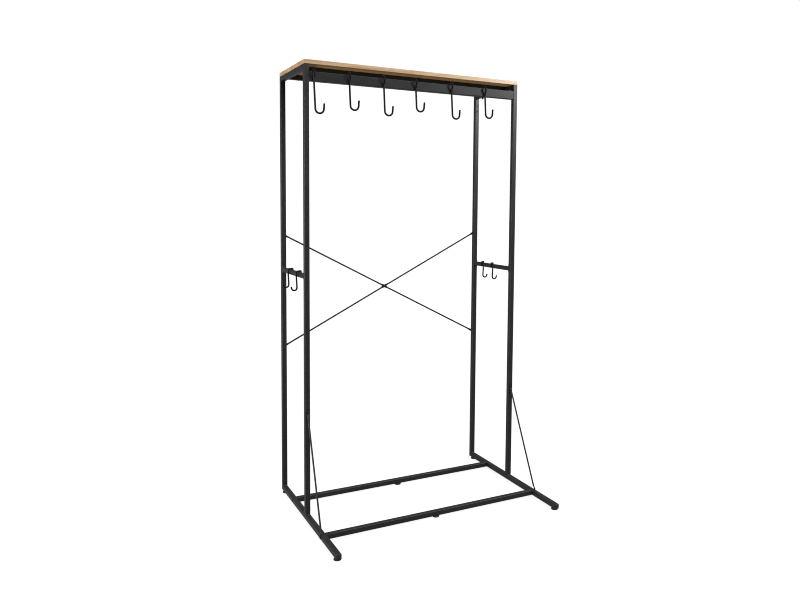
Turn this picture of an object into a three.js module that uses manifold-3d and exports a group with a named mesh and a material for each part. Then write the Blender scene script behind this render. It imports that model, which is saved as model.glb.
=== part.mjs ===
// Freestanding vertical bike rack: a black square-tube frame with a wooden top board,
// a front hook rail with six J-hooks, two side rails with small accessory hooks,
// an X-brace of thin rods at the back and a diagonal rod brace to each foot rail.
// Millimetres, +Z up, origin on the floor under the centre of the footprint.
// X = width (+X right), Y = depth (front is -Y), Z = height.

import * as THREE from 'three';
import { mergeVertices } from 'three/addons/utils/BufferGeometryUtils.js';
import Module from 'manifold-3d';

const wasm = await Module();
wasm.setup();

// ---------------------------------------------------------------- driving dimensions
const WIDTH = 1070;            // outer width over the uprights
const HEIGHT = 2000;           // floor to the top of the board
const TUBE = 22;               // square tube of the frame, outer size
const SIDE_TUBE = 20;          // square tube of the side rails
const WALL = 1.5;              // tube wall
const CORNER = 1.9;            // outer corner radius of the tube
const GAP = 0.3;               // gap kept between touching pieces
const Y0 = 2.75;               // front faces of the front uprights lie on this plane
const DEPTH = 390;             // front face of the front uprights to rear face of the rear ones
const BOARD_T = 18;            // board thickness
const GLIDE_H = 7;             // underside of the foot rails above the floor
const FOOT_FRONT = -405;       // foot rail ends, from the Y0 plane
const FOOT_REAR = 390;
const BAR_FRONT = -209;        // centre lines of the cross bars, from the Y0 plane
const BAR_REAR = 211;
const HOOK_RAIL_H = 40;        // hook rail section
const HOOK_RAIL_D = 25;
const HOOK_RAIL_TOP = 1951.5;
const SIDE_RAIL_TOP = 1089;
const SUPPORT_FRONT = 75;      // front faces of the board supports, from the Y0 plane
const SUPPORT_REAR = 295;
const SEAM_Z = 1886;           // joint in the rear uprights
const ROD = 7.6;               // brace rod diameter
const HOOK_ROD = 8.4;          // bike hook rod diameter
const HOOK_J = 19;             // radius of a bike hook's J, to the rod's centre line
// a bike hook's crook over the rail: half an ellipse, seen along the rail, whose front bulges
// past the stem; the rear leg stands a little to the right of the stem
const CROOK = { y: 8.75, z: 1946.0, a: 22.95, b: 15.8, skew: 9.0, bend: 1922.0 };
const SMALL_ROD = 7.4;         // accessory hook rod diameter
const SMALL_J = 12.2;
const BRACE_TOP = 1246;        // X-brace bolts
const BRACE_LOW = 706;
const FOOT_BRACE_Z = 490;      // upper bolt of the diagonal foot braces
const GLIDE_D = 31;

// six bike hooks: x at the rail's lower edge, sideways lean of the stem, height of the J's
// lowest point, height of the rear leg's end
const BIKE_HOOKS = [
  { x: -494, lean: 0.050, z: 1777.0, leg: 1917.0 },
  { x: -335, lean: 0.045, z: 1801.0, leg: 1917.0 },
  { x: -174, lean: 0.045, z: 1788.5, leg: 1917.0 },
  { x: -17, lean: 0.050, z: 1816.5, leg: 1917.0 },
  { x: 167, lean: 0.055, z: 1795.6, leg: 1917.0 },
  { x: 348, lean: 0.055, z: 1810.5, leg: 1906.5 },
];
// four accessory hooks: side (-1 left, +1 right), distance of the stem behind the Y0 plane
const SMALL_HOOKS = [
  { side: -1, y: 113 },
  { side: -1, y: 244 },
  { side: 1, y: 211.5 },
  { side: 1, y: 307.5 },
];

// ---------------------------------------------------------------- derived
const X_OUT = WIDTH / 2;                 // 535
const X_IN = X_OUT - TUBE;               // 513
const X_MID = X_OUT - TUBE / 2;          // 524
const UNDER_BOARD = HEIGHT - BOARD_T;    // 1982
const FOOT_TOP = GLIDE_H + TUBE;         // 29
const FOOT_MID = GLIDE_H + TUBE / 2;     // 18
const yy = (d) => Y0 + d;                // depth from the front plane to model Y

// ---------------------------------------------------------------- materials
const metal = () => new THREE.MeshStandardMaterial({ color: 0x2b2c2e, roughness: 0.48, metalness: 0.35 });
const hookMetal = () => new THREE.MeshStandardMaterial({ color: 0x232426, roughness: 0.4, metalness: 0.4 });
const boltMetal = () => new THREE.MeshStandardMaterial({ color: 0x1b1c1d, roughness: 0.38, metalness: 0.7 });
const wood = () => new THREE.MeshStandardMaterial({ color: 0xd9b98b, roughness: 0.6, metalness: 0 });
const plastic = () => new THREE.MeshStandardMaterial({ color: 0x161617, roughness: 0.62, metalness: 0 });

// ---------------------------------------------------------------- solids: manifold in and out
function toManifold(geom) {
  let g = geom.index ? geom.toNonIndexed() : geom.clone();
  g.deleteAttribute('normal');
  g.deleteAttribute('uv');
  g = mergeVertices(g, 1e-4);
  return new wasm.Manifold(new wasm.Mesh({
    numProp: 3,
    vertProperties: Float32Array.from(g.attributes.position.array),
    triVerts: Uint32Array.from(g.index.array),
  }));
}
function toGeometry(solid) {
  const m = solid.getMesh();
  const g = new THREE.BufferGeometry();
  g.setAttribute('position', new THREE.BufferAttribute(Float32Array.from(m.vertProperties), 3));
  g.setIndex(new THREE.BufferAttribute(Uint32Array.from(m.triVerts), 1));
  return g;
}
function cut(geom, cutters) {
  let s = toManifold(geom);
  for (const c of cutters) s = s.subtract(toManifold(c));
  return toGeometry(s);
}
function join(geoms) {
  let s = toManifold(geoms[0]);
  for (const g of geoms.slice(1)) s = s.add(toManifold(g));
  return toGeometry(s);
}

// ---------------------------------------------------------------- shapes
function roundedRect(w, h, r, Cls = THREE.Shape) {
  const s = new Cls();
  const x = w / 2, y = h / 2;
  s.moveTo(x - r, -y);
  s.absarc(x - r, -y + r, r, -Math.PI / 2, 0, false);
  s.absarc(x - r, y - r, r, 0, Math.PI / 2, false);
  s.absarc(-x + r, y - r, r, Math.PI / 2, Math.PI, false);
  s.absarc(-x + r, -y + r, r, Math.PI, Math.PI * 1.5, false);
  return s;
}
// hollow tube of w x h section; its length runs along +Z from 0
function tube(w, h, length, wall = WALL, corner = CORNER) {
  const s = roundedRect(w, h, corner);
  s.holes.push(roundedRect(w - 2 * wall, h - 2 * wall, Math.max(corner - wall, 0.5), THREE.Path));
  return new THREE.ExtrudeGeometry(s, { depth: length, bevelEnabled: false, curveSegments: 2 });
}
const AXIS = {
  x: new THREE.Matrix4().makeBasis(new THREE.Vector3(0, 1, 0), new THREE.Vector3(0, 0, 1), new THREE.Vector3(1, 0, 0)),
  y: new THREE.Matrix4().makeBasis(new THREE.Vector3(0, 0, 1), new THREE.Vector3(1, 0, 0), new THREE.Vector3(0, 1, 0)),
  z: new THREE.Matrix4(),
};
// tube between two coordinates along an axis; w and h are its sizes across (x: y,z  y: z,x  z: x,y)
function tubeAlong(axis, a, b, centre, w = TUBE, h = TUBE) {
  const g = tube(w, h, b - a);
  g.applyMatrix4(AXIS[axis]);
  const p = new THREE.Vector3(...centre);
  p[axis] = a;
  return g.translate(p.x, p.y, p.z);
}
// round cutter through a wall, along an axis
function drill(axis, d, length, centre, sides = 8) {
  const g = new THREE.CylinderGeometry(d / 2, d / 2, length, sides);
  if (axis === 'x') g.rotateZ(Math.PI / 2);
  if (axis === 'z') g.rotateX(Math.PI / 2);
  return g.translate(...centre);
}
function box(x0, x1, y0, y1, z0, z1) {
  return new THREE.BoxGeometry(x1 - x0, y1 - y0, z1 - z0).translate((x0 + x1) / 2, (y0 + y1) / 2, (z0 + z1) / 2);
}
// a capped cylinder whose rings are moved to stations {p, u, v, a, b}: centre, two
// directions across and the half sizes along them; power > 2 squares the section
function loft(stations, sides) {
  const n = stations.length - 1;
  const g = new THREE.CylinderGeometry(1, 1, n, sides, n, false);
  const pos = g.attributes.position;
  const v = new THREE.Vector3();
  for (let i = 0; i < pos.count; i++) {
    v.fromBufferAttribute(pos, i);
    const s = stations[Math.round(n / 2 - v.y)];
    const k = s.power ?? 2;
    const len = Math.hypot(v.x, v.z);
    let cx = 0, cz = 0;
    if (len > 0.5) {
      const c = v.x / len, z = v.z / len;
      cx = Math.sign(c) * Math.abs(c) ** (2 / k);
      cz = Math.sign(z) * Math.abs(z) ** (2 / k);
    }
    v.copy(s.p).addScaledVector(s.u, cx * s.a).addScaledVector(s.v, cz * s.b);
    pos.setXYZ(i, v.x, v.y, v.z);
  }
  g.deleteAttribute('normal');
  g.deleteAttribute('uv');
  const merged = mergeVertices(g, 1e-4);
  // the faces point out when the signed volume is positive
  const p = merged.attributes.position, ix = merged.index;
  const A = new THREE.Vector3(), B = new THREE.Vector3(), C = new THREE.Vector3();
  let vol = 0;
  for (let i = 0; i < ix.count; i += 3) {
    A.fromBufferAttribute(p, ix.getX(i));
    B.fromBufferAttribute(p, ix.getX(i + 1));
    C.fromBufferAttribute(p, ix.getX(i + 2));
    vol += A.dot(B.cross(C));
  }
  if (vol < 0) {
    const a = ix.array;
    for (let i = 0; i < a.length; i += 3) [a[i + 1], a[i + 2]] = [a[i + 2], a[i + 1]];
  }
  return merged;
}
// round rod along a list of points, with parallel frames and softened ends
function rod(points, d, sides) {
  const r = d / 2;
  const T = points.map((p, i) => {
    const a = points[Math.max(i - 1, 0)], b = points[Math.min(i + 1, points.length - 1)];
    return b.clone().sub(a).normalize();
  });
  let u = new THREE.Vector3(1, 0, 0);
  if (Math.abs(T[0].dot(u)) > 0.8) u.set(0, 1, 0);
  const st = points.map((p, i) => {
    u = u.clone().addScaledVector(T[i], -u.dot(T[i])).normalize();
    const v = T[i].clone().cross(u);
    return { p, u, v, a: r, b: r };
  });
  const end = (s, t, k) => [
    { ...s, p: s.p.clone().addScaledVector(t, k * 0.45 * r), a: 0.86 * r, b: 0.86 * r },
    { ...s, p: s.p.clone().addScaledVector(t, k * 0.7 * r), a: 0.5 * r, b: 0.5 * r },
  ];
  const head = end(st[0], T[0], -1).reverse();
  const tail = end(st[st.length - 1], T[T.length - 1], 1);
  return loft([...head, ...st, ...tail], sides);
}
// points of an arc about c, in the plane of unit vectors e and f, from angle a to b (degrees)
function arc(c, e, f, r, a, b, n) {
  const out = [];
  for (let i = 0; i <= n; i++) {
    const t = THREE.MathUtils.degToRad(a + (b - a) * i / n);
    out.push(c.clone().addScaledVector(e, r * Math.cos(t)).addScaledVector(f, r * Math.sin(t)));
  }
  return out;
}
const V = (x, y, z) => new THREE.Vector3(x, y, z);

// ---------------------------------------------------------------- the group
const group = new THREE.Group();
function add(name, geometry, material) {
  const m = new THREE.Mesh(geometry, material);
  m.name = name;
  group.add(m);
  return m;
}

// ---------------------------------------------------------------- top board
{
  const r = 1.0;
  const s = new THREE.Shape();
  const x = WIDTH / 2 - r, y = DEPTH / 2 - r;
  s.moveTo(-x, -y); s.lineTo(x, -y); s.lineTo(x, y); s.lineTo(-x, y); s.closePath();
  const g = new THREE.ExtrudeGeometry(s, {
    depth: BOARD_T - GAP - 2 * r, bevelEnabled: true, bevelThickness: r, bevelSize: r, bevelSegments: 2,
  });
  g.translate(0, yy(DEPTH / 2), UNDER_BOARD + GAP + r);
  add('top_board', g, wood());
}

// ---------------------------------------------------------------- uprights
const STUB_BOLT_Z = [1920.5, 1893.6];
for (const s of [-1, 1]) {
  const side = s < 0 ? 'left' : 'right';
  // front upright, from the foot rail to the board
  const front = tubeAlong('z', FOOT_TOP + GAP, UNDER_BOARD, [s * X_MID, yy(TUBE / 2), 0]);
  add(`${side}_front_upright`, cut(front, [
    drill('y', 5.8, 8, [s * X_MID, yy(0), FOOT_BRACE_Z]),
  ]), metal());

  // rear upright, from the foot rail to the joint near its top
  const ry = yy(DEPTH - TUBE / 2);
  const rear = tubeAlong('z', FOOT_TOP + GAP, SEAM_Z - GAP / 2, [s * X_MID, ry, 0]);
  add(`${side}_rear_upright`, cut(rear, [BRACE_TOP, BRACE_LOW].map((z) => drill('y', 5.8, 8, [s * X_MID, yy(DEPTH), z]))), metal());

  // its short top length, welded to the side top rail
  const stub = tubeAlong('z', SEAM_Z + GAP / 2, UNDER_BOARD, [s * X_MID, ry, 0]);
  add(`${side}_rear_upright_top`, cut(stub, STUB_BOLT_Z.map((z) => drill('y', 5.8, 8, [s * X_MID, yy(DEPTH - TUBE), z]))), metal());

  // sleeve inside the joint
  const sleeve = tube(TUBE - 2 * WALL - 2 * GAP, TUBE - 2 * WALL - 2 * GAP, 96, 1.5, 0.9);
  sleeve.translate(s * X_MID, ry, 1840);
  add(`${side}_joint_sleeve`, cut(sleeve, STUB_BOLT_Z.map((z) => drill('y', 5.8, 8, [s * X_MID, yy(DEPTH - TUBE + 2.6), z]))), metal());
}

// ---------------------------------------------------------------- rails under the board
for (const s of [-1, 1]) {
  const side = s < 0 ? 'left' : 'right';
  add(`${side}_top_rail`, tubeAlong('y', yy(TUBE + GAP), yy(DEPTH - TUBE - GAP),
    [s * X_MID, 0, UNDER_BOARD - TUBE / 2]), metal());
}
for (const [name, y] of [['front', SUPPORT_FRONT], ['rear', SUPPORT_REAR]]) {
  add(`${name}_board_support`, tubeAlong('x', -X_IN + GAP, X_IN - GAP,
    [0, yy(y + TUBE / 2), UNDER_BOARD - TUBE / 2]), metal());
}
add('hook_rail', tubeAlong('x', -X_IN + GAP, X_IN - GAP,
  [0, yy(HOOK_RAIL_D / 2), HOOK_RAIL_TOP - HOOK_RAIL_H / 2], HOOK_RAIL_D, HOOK_RAIL_H), metal());

// ---------------------------------------------------------------- side rails with end plates
for (const s of [-1, 1]) {
  const side = s < 0 ? 'left' : 'right';
  const z = SIDE_RAIL_TOP - SIDE_TUBE / 2, t = 2.5, h = 40;
  const y0 = yy(TUBE + GAP), y1 = yy(DEPTH - TUBE - GAP);
  const rail = tubeAlong('y', y0 + 1, y1 - 1, [s * X_MID, 0, z], SIDE_TUBE, SIDE_TUBE);
  const plate = (a, b) => cut(box(s * X_MID - SIDE_TUBE / 2, s * X_MID + SIDE_TUBE / 2, a, b, z - h / 2, z + h / 2),
    [box(s * X_MID - 7, s * X_MID + 7, a - 1, b + 1, z - 7, z + 7)]);
  add(`${side}_side_rail`, join([rail, plate(y0, y0 + t), plate(y1 - t, y1)]), metal());
}

// ---------------------------------------------------------------- foot rails, caps, cross bars
const CAP_T = 3;
for (const s of [-1, 1]) {
  const side = s < 0 ? 'left' : 'right';
  const y0 = yy(FOOT_FRONT + CAP_T + GAP), y1 = yy(FOOT_REAR - CAP_T - GAP);
  const holes = [
    // bolts to the cross bars go right through
    drill('x', 5.8, 30, [s * X_MID, yy(BAR_FRONT), FOOT_MID]),
    drill('x', 5.8, 30, [s * X_MID, yy(BAR_REAR), FOOT_MID]),
    // threaded places of the two glides, in the lower wall
    drill('z', 8.8, 8, [s * X_MID, yy(FOOT_FRONT + 20), GLIDE_H]),
    drill('z', 8.8, 8, [s * X_MID, yy(FOOT_REAR - 32), GLIDE_H]),
  ];
  add(`${side}_foot_rail`, cut(tubeAlong('y', y0, y1, [s * X_MID, 0, FOOT_MID]), holes), metal());
  for (const [end, y, k] of [['front', yy(FOOT_FRONT), 1], ['rear', yy(FOOT_REAR), -1]]) {
    // square plug: a flange over the tube's end and a hollow neck inside it
    const neck = TUBE - 2 * WALL - 2 * GAP;
    const flange = new THREE.ExtrudeGeometry(roundedRect(TUBE - 1.6, TUBE - 1.6, CORNER), {
      depth: CAP_T - 1.2, bevelEnabled: true, bevelThickness: 0.6, bevelSize: 0.8, bevelSegments: 1, curveSegments: 2,
    }).translate(0, 0, 0.6);
    const plug = tube(neck, neck, 8, 1.6, 1.2).translate(0, 0, CAP_T - 0.5);
    const g = join([flange, plug]);
    g.applyMatrix4(AXIS.y);
    if (k < 0) g.rotateZ(Math.PI);
    g.translate(s * X_MID, y, FOOT_MID);
    add(`${side}_foot_cap_${end}`, g, plastic());
  }
}
for (const [name, y] of [['front', BAR_FRONT], ['rear', BAR_REAR]]) {
  const bar = tubeAlong('x', -X_IN + GAP, X_IN - GAP, [0, yy(y), FOOT_MID]);
  add(`${name}_cross_bar`, cut(bar, [drill('z', 8.8, 8, [0, yy(y), GLIDE_H])]), metal());
}

// ---------------------------------------------------------------- glides: a disc and its threaded stem
{
  const r = GLIDE_D / 2;
  const profile = [
    [0, 0], [r - 1.0, 0], [r, 1.0], [r, 4.6], [r - 1.4, 5.6],
    [6.2, GLIDE_H - GAP - 0.2], [3.9, GLIDE_H - GAP - 0.2], [3.9, 21], [0, 21],
  ].map(([a, b]) => new THREE.Vector2(a, b));
  const places = {
    left_front_glide: [-X_MID, FOOT_FRONT + 20], left_rear_glide: [-X_MID, FOOT_REAR - 32],
    right_front_glide: [X_MID, FOOT_FRONT + 20], right_rear_glide: [X_MID, FOOT_REAR - 32],
    front_bar_glide: [0, BAR_FRONT], rear_bar_glide: [0, BAR_REAR],
  };
  for (const [name, [x, y]] of Object.entries(places)) {
    const g = new THREE.LatheGeometry(profile, 16).rotateX(Math.PI / 2);
    add(name, g.translate(x, yy(y), 0), plastic());
  }
}

// ---------------------------------------------------------------- bike hooks
BIKE_HOOKS.forEach((h, i) => {
  const zt = h.z + HOOK_J;                      // where the stem runs into the J
  const edge = HOOK_RAIL_TOP - HOOK_RAIL_H;     // lower edge of the rail
  const front = -(HOOK_ROD / 2 + 0.7);          // stem just in front of the rail's face
  const rear = CROOK.y + CROOK.a, bulge = CROOK.y - CROOK.a;
  const ease = (t) => t * t * (3 - 2 * t);
  const at = (z) => h.x + h.lean * (edge - Math.min(z, CROOK.bend));   // the stem leans a little to the right
  const aside = (y) => CROOK.skew * ease(Math.min(1, Math.max(0, (y - front) / (rear - front))));
  const yz = [[rear + 0.1, h.leg], [rear + 0.1, (h.leg + CROOK.z) / 2]];
  for (let k = 0; k <= 12; k++) {               // over the rail, from the back to the front
    const t = Math.PI * k / 12, grow = 0.15;    // the chords stay clear of the rail
    yz.push([CROOK.y + (CROOK.a + grow) * Math.cos(t), CROOK.z + (CROOK.b + grow) * Math.sin(t)]);
  }
  for (let k = 1; k <= 4; k++) {                // back in to the rail's face
    const t = k / 4;
    yz.push([bulge + (front - bulge) * ease(t), CROOK.z + (CROOK.bend - CROOK.z) * t]);
  }
  const pts = yz.map(([y, z]) => V(at(z) + (z > CROOK.bend || y > 12 ? aside(y) : 0), yy(y), z));
  pts.push(V(at((zt + CROOK.bend) / 2), yy(front), (zt + CROOK.bend) / 2), V(at(zt), yy(front), zt));
  const xs = at(zt);
  const J = arc(V(xs + HOOK_J, yy(front), zt), V(-1, 0, 0), V(0, 0, -1), HOOK_J, 0, 176, 9);
  pts.push(...J.slice(1));
  pts.push(V(xs + 2 * HOOK_J + 0.6, yy(front), zt + 11), V(xs + 2 * HOOK_J + 1.4, yy(front), zt + 22));
  add(`bike_hook_${i + 1}`, rod(pts, HOOK_ROD, 8), hookMetal());
});

// ---------------------------------------------------------------- accessory hooks
SMALL_HOOKS.forEach((h, i) => {
  const s = h.side, top = SIDE_RAIL_TOP, r = SMALL_ROD / 2;
  const lean = 0.05;                            // the stem's foot swings in under the rail
  const X = (z) => X_OUT + 4.0 + lean * (z - (top - SIDE_TUBE));
  const barZ = top + r + 0.6;
  const P = (x, y, z) => V(s * x, yy(h.y - s * y), z);   // x outwards, y along the rail (backwards on the left)
  const b = r + 1.0;                            // bend radius at the top corners
  const outer = X(barZ), inner = X_MID - SIDE_TUBE / 2 - r - 0.5;
  const run = outer - inner, skew = 27;         // the bar crosses the rail at a slant
  const L = Math.hypot(run, skew), ux = run / L, uy = skew / L;
  const along = (t, z) => P(outer - ux * t, uy * t, z);  // t measured along the slanted bar
  const pts = [];
  // inner leg, up to the bend
  pts.push(along(L, barZ - 18), along(L, barZ - b));
  for (const a of [45, 90]) {
    const t = THREE.MathUtils.degToRad(a);
    pts.push(along(L - b * (1 - Math.cos(t)), barZ - b + b * Math.sin(t)));
  }
  for (const a of [90, 45, 0]) {
    const t = THREE.MathUtils.degToRad(a);
    pts.push(along(b * (1 - Math.cos(t)), barZ - b + b * Math.sin(t)));
  }
  const zt = 1009 + SMALL_J;
  pts.push(P(X(top - SIDE_TUBE - 4), 0, top - SIDE_TUBE - 4), P(X(zt), 0, zt));
  for (let k = 1; k <= 7; k++) {
    const t = THREE.MathUtils.degToRad(172 * k / 7);
    pts.push(P(X(zt) + SMALL_J * (1 - Math.cos(t)), 0, zt - SMALL_J * Math.sin(t)));
  }
  pts.push(P(X(zt) + 2 * SMALL_J + 1.2, 0, zt + 3.0));
  add(`accessory_hook_${i + 1}`, rod(pts, SMALL_ROD, 7), hookMetal());
});

// ---------------------------------------------------------------- X-brace
// Each rod is flattened at its two ends, where a bolt holds it to the upright, and at its
// middle, where the two rods lie on each other and share one bolt.
const BRACE_Y = yy(DEPTH) + 1.6;
{
  const run = 2 * X_MID, rise = BRACE_TOP - BRACE_LOW;
  const L = Math.hypot(run, rise);
  const mid = V(0, BRACE_Y, (BRACE_TOP + BRACE_LOW) / 2);
  const r = ROD / 2;
  [[1, -1], [2, 1]].forEach(([n, dir]) => {
    const t = V(run / L, 0, dir * rise / L);              // along the rod
    const u = V(-dir * rise / L, 0, run / L);             // across it, in the brace's plane
    const v = V(0, 1, 0);
    const off = n === 1 ? -1 : 1;                         // rod 1 in front of rod 2 at the middle
    // distance from the middle, half width, half thickness, offset to the back, squareness
    const half = [
      [0, 6.2, 1.5, off * 1.7, 4], [9, 6.2, 1.5, off * 1.7, 4], [13, 5.0, 1.9, off * 1.5, 3],
      [18, 4.2, 3.0, off * 0.7, 2.3], [25, r, r, 0, 2], [L / 2 - 31, r, r, 0, 2],
      [L / 2 - 23, 4.5, 2.8, 0, 2.3], [L / 2 - 16, 5.3, 1.5, 0, 3], [L / 2 - 10, 5.8, 1.2, 0, 4],
      [L / 2 + 4, 5.8, 1.2, 0, 4], [L / 2 + 7, 4.6, 1.2, 0, 4], [L / 2 + 8.6, 2.6, 1.1, 0, 4],
    ];
    const st = [];
    const put = (q, k) => st.push({
      p: mid.clone().addScaledVector(t, k * q[0]).addScaledVector(v, q[3]), u, v, a: q[1], b: q[2], power: q[4],
    });
    [...half].reverse().forEach((q) => put(q, -1));
    half.slice(1).forEach((q) => put(q, 1));
    const holes = [mid, mid.clone().addScaledVector(t, L / 2), mid.clone().addScaledVector(t, -L / 2)]
      .map((p) => drill('y', 5.8, 20, [p.x, p.y, p.z]));
    add(`cross_brace_rod_${n}`, cut(loft(st, 10), holes), metal());
  });
}

// ---------------------------------------------------------------- diagonal foot braces
// From the front face of the front upright down to the foot rail; the lower end is
// flattened and set out over the rail's edge onto its outer side.
for (const s of [-1, 1]) {
  const side = s < 0 ? 'left' : 'right';
  const r = ROD / 2, t = 1.2;
  const topY = yy(-GAP - t), low = V(s * (X_OUT + GAP + t), yy(BAR_FRONT), FOOT_MID);
  const A = V(s * X_MID, topY - 3.2, FOOT_BRACE_Z - 20);
  const B = V(s * 532.2, yy(BAR_FRONT + 8), FOOT_TOP + 21);
  const d = B.clone().sub(A).normalize();
  const ux = V(1, 0, 0);
  const uy = V(0, 1, 0);
  const st = [];
  const put = (p, u, v, a, b, power) => {
    st.push({ p, u: u.clone().normalize(), v: v.clone().normalize(), a, b, power });
  };
  const across = (dir, u) => u.clone().addScaledVector(dir, -u.dot(dir)).normalize();
  // upper tab, flat on the upright's front face
  put(V(s * X_MID, topY, FOOT_BRACE_Z + 9), ux, uy, 2.6, 1.1, 4);
  put(V(s * X_MID, topY, FOOT_BRACE_Z + 7.4), ux, uy, 4.6, t, 4);
  put(V(s * X_MID, topY, FOOT_BRACE_Z + 4.5), ux, uy, 5.8, t, 4);
  put(V(s * X_MID, topY, FOOT_BRACE_Z - 7), ux, uy, 5.8, t, 4);
  put(V(s * X_MID, topY - 0.6, FOOT_BRACE_Z - 12), ux, uy, 5.0, 1.7, 3);
  const n1 = across(d, uy);
  put(A, across(d, ux), n1, r, r, 2);
  put(A.clone().lerp(B, 0.5), across(d, ux), n1, r, r, 2);
  put(B, across(d, ux), n1, r, r, 2);
  // the flattening turns a quarter, so that the lower tab lies against the rail's side:
  // there the wide direction runs along Y
  put(V(s * 533.4, yy(BAR_FRONT + 3.6), FOOT_TOP + 11), ux, uy, 2.4, 4.3, 2.4);
  put(V(s * 535.2, yy(BAR_FRONT + 1.2), FOOT_TOP + 5), ux, uy, 1.6, 5.4, 3.4);
  put(V(low.x, low.y, FOOT_TOP - 1), ux, uy, t, 5.8, 4);
  put(V(low.x, low.y, FOOT_MID - 3), ux, uy, t, 5.8, 4);
  put(V(low.x, low.y, FOOT_MID - 6.5), ux, uy, t, 4.6, 4);
  put(V(low.x, low.y, FOOT_MID - 8.2), ux, uy, 1.1, 2.6, 4);
  add(`${side}_foot_brace`, cut(loft(st, 10), [
    drill('y', 5.8, 10, [s * X_MID, topY, FOOT_BRACE_Z]),
    drill('x', 5.8, 10, [low.x, low.y, low.z]),
  ]), metal());
}

// ---------------------------------------------------------------- bolts
// Button-head bolt along +Z: the head's underside at 0, the shank below it.
function bolt(length, headD = 9, headH = 2.6, shank = 5) {
  const R = headD / 2, r = shank / 2;
  const profile = [
    [0, -length], [r, -length], [r, 0], [R, 0], [R, headH * 0.3], [R * 0.8, headH * 0.8], [R * 0.5, headH], [0, headH],
  ].map(([a, b]) => new THREE.Vector2(a, b));
  return new THREE.LatheGeometry(profile, 9).rotateX(Math.PI / 2);
}
function placeBolt(name, length, head, dir, opts = {}) {
  const g = bolt(length, opts.headD, opts.headH, opts.shank);
  const q = new THREE.Quaternion().setFromUnitVectors(V(0, 0, 1), dir);
  g.applyQuaternion(q).translate(head.x, head.y, head.z);
  add(name, g, boltMetal());
}
for (const s of [-1, 1]) {
  const side = s < 0 ? 'left' : 'right';
  // X-brace ends, heads at the back
  placeBolt(`${side}_cross_brace_bolt_upper`, 13, V(s * X_MID, BRACE_Y + 1.2 + GAP, BRACE_TOP), V(0, 1, 0));
  placeBolt(`${side}_cross_brace_bolt_lower`, 13, V(s * X_MID, BRACE_Y + 1.2 + GAP, BRACE_LOW), V(0, 1, 0));
  // joint in the rear upright
  STUB_BOLT_Z.forEach((z, i) => {
    placeBolt(`${side}_joint_bolt_${i + 1}`, 8, V(s * X_MID, yy(DEPTH - TUBE - GAP), z), V(0, -1, 0), { headD: 8, headH: 2.2 });
  });
  // diagonal foot brace; its lower bolt also holds the front cross bar
  placeBolt(`${side}_foot_brace_bolt_upper`, 12, V(s * X_MID, yy(-GAP - 2.4 - GAP), FOOT_BRACE_Z), V(0, -1, 0));
  placeBolt(`${side}_foot_brace_bolt_lower`, 34, V(s * (X_OUT + 2.4 + 2 * GAP), yy(BAR_FRONT), FOOT_MID), V(s, 0, 0));
  placeBolt(`${side}_rear_bar_bolt`, 31, V(s * (X_OUT + GAP), yy(BAR_REAR), FOOT_MID), V(s, 0, 0));
}
{
  // middle of the X-brace: bolt from the front, nut at the back
  const mid = V(0, BRACE_Y, (BRACE_TOP + BRACE_LOW) / 2);
  placeBolt('cross_brace_centre_bolt', 9.2, V(0, BRACE_Y - 3.2 - GAP, mid.z), V(0, -1, 0), { headD: 11, headH: 2.8 });
  const nut = new THREE.LatheGeometry([
    [3.1, 0], [5.8, 0], [5.8, 3.2], [5.0, 4.4], [3.1, 4.4], [3.1, 0],
  ].map(([a, b]) => new THREE.Vector2(a, b)), 6).rotateX(Math.PI / 2);
  const q = new THREE.Quaternion().setFromUnitVectors(V(0, 0, 1), V(0, 1, 0));
  nut.applyQuaternion(q).translate(0, BRACE_Y + 3.2 + GAP, mid.z);
  add('cross_brace_centre_nut', nut, boltMetal());
}

export default group;
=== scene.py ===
import math

import bmesh
import bpy
from mathutils import Matrix, Vector


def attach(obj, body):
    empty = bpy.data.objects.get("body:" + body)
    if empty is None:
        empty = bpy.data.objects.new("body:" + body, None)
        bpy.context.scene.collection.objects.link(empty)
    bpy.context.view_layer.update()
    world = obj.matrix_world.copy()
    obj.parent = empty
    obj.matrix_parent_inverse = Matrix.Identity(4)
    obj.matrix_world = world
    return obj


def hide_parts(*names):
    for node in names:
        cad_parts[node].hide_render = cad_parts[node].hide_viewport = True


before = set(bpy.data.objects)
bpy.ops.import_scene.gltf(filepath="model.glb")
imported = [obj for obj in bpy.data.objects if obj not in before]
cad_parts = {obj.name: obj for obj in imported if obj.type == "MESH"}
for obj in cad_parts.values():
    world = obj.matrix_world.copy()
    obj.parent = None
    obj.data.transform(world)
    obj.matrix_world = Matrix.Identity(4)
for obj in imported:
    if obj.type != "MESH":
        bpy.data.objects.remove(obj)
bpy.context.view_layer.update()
scene = bpy.context.scene

# ---------------------------------------------------------------- sizes, as in the CAD (millimetres)
MM = 0.001
Y0 = 2.75
WIDTH, DEPTH, HEIGHT = 1070.0, 390.0, 2000.0
TUBE, WALL, CORNER, GAP = 22.0, 1.5, 1.9, 0.3
SIDE_TUBE = 20.0
X_OUT, X_IN, X_MID = 535.0, 513.0, 524.0
BOARD_T = 18.0
UNDER_BOARD = HEIGHT - BOARD_T
GLIDE_H, GLIDE_D = 7.0, 31.0
FOOT_FRONT, FOOT_REAR = -405.0, 390.0
FOOT_TOP, FOOT_MID = 29.0, 18.0
BAR_FRONT, BAR_REAR = -209.0, 211.0
HOOK_RAIL_H, HOOK_RAIL_D, HOOK_RAIL_TOP = 40.0, 25.0, 1951.5
SIDE_RAIL_TOP = 1089.0
SUPPORT_FRONT, SUPPORT_REAR = 75.0, 295.0
SEAM_Z = 1886.0
ROD, HOOK_ROD, HOOK_J = 7.6, 8.4, 19.0
SMALL_ROD, SMALL_J = 7.4, 12.2
BRACE_TOP, BRACE_LOW = 1246.0, 706.0
FOOT_BRACE_Z = 490.0
BRACE_Y = Y0 + DEPTH + 1.6
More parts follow.
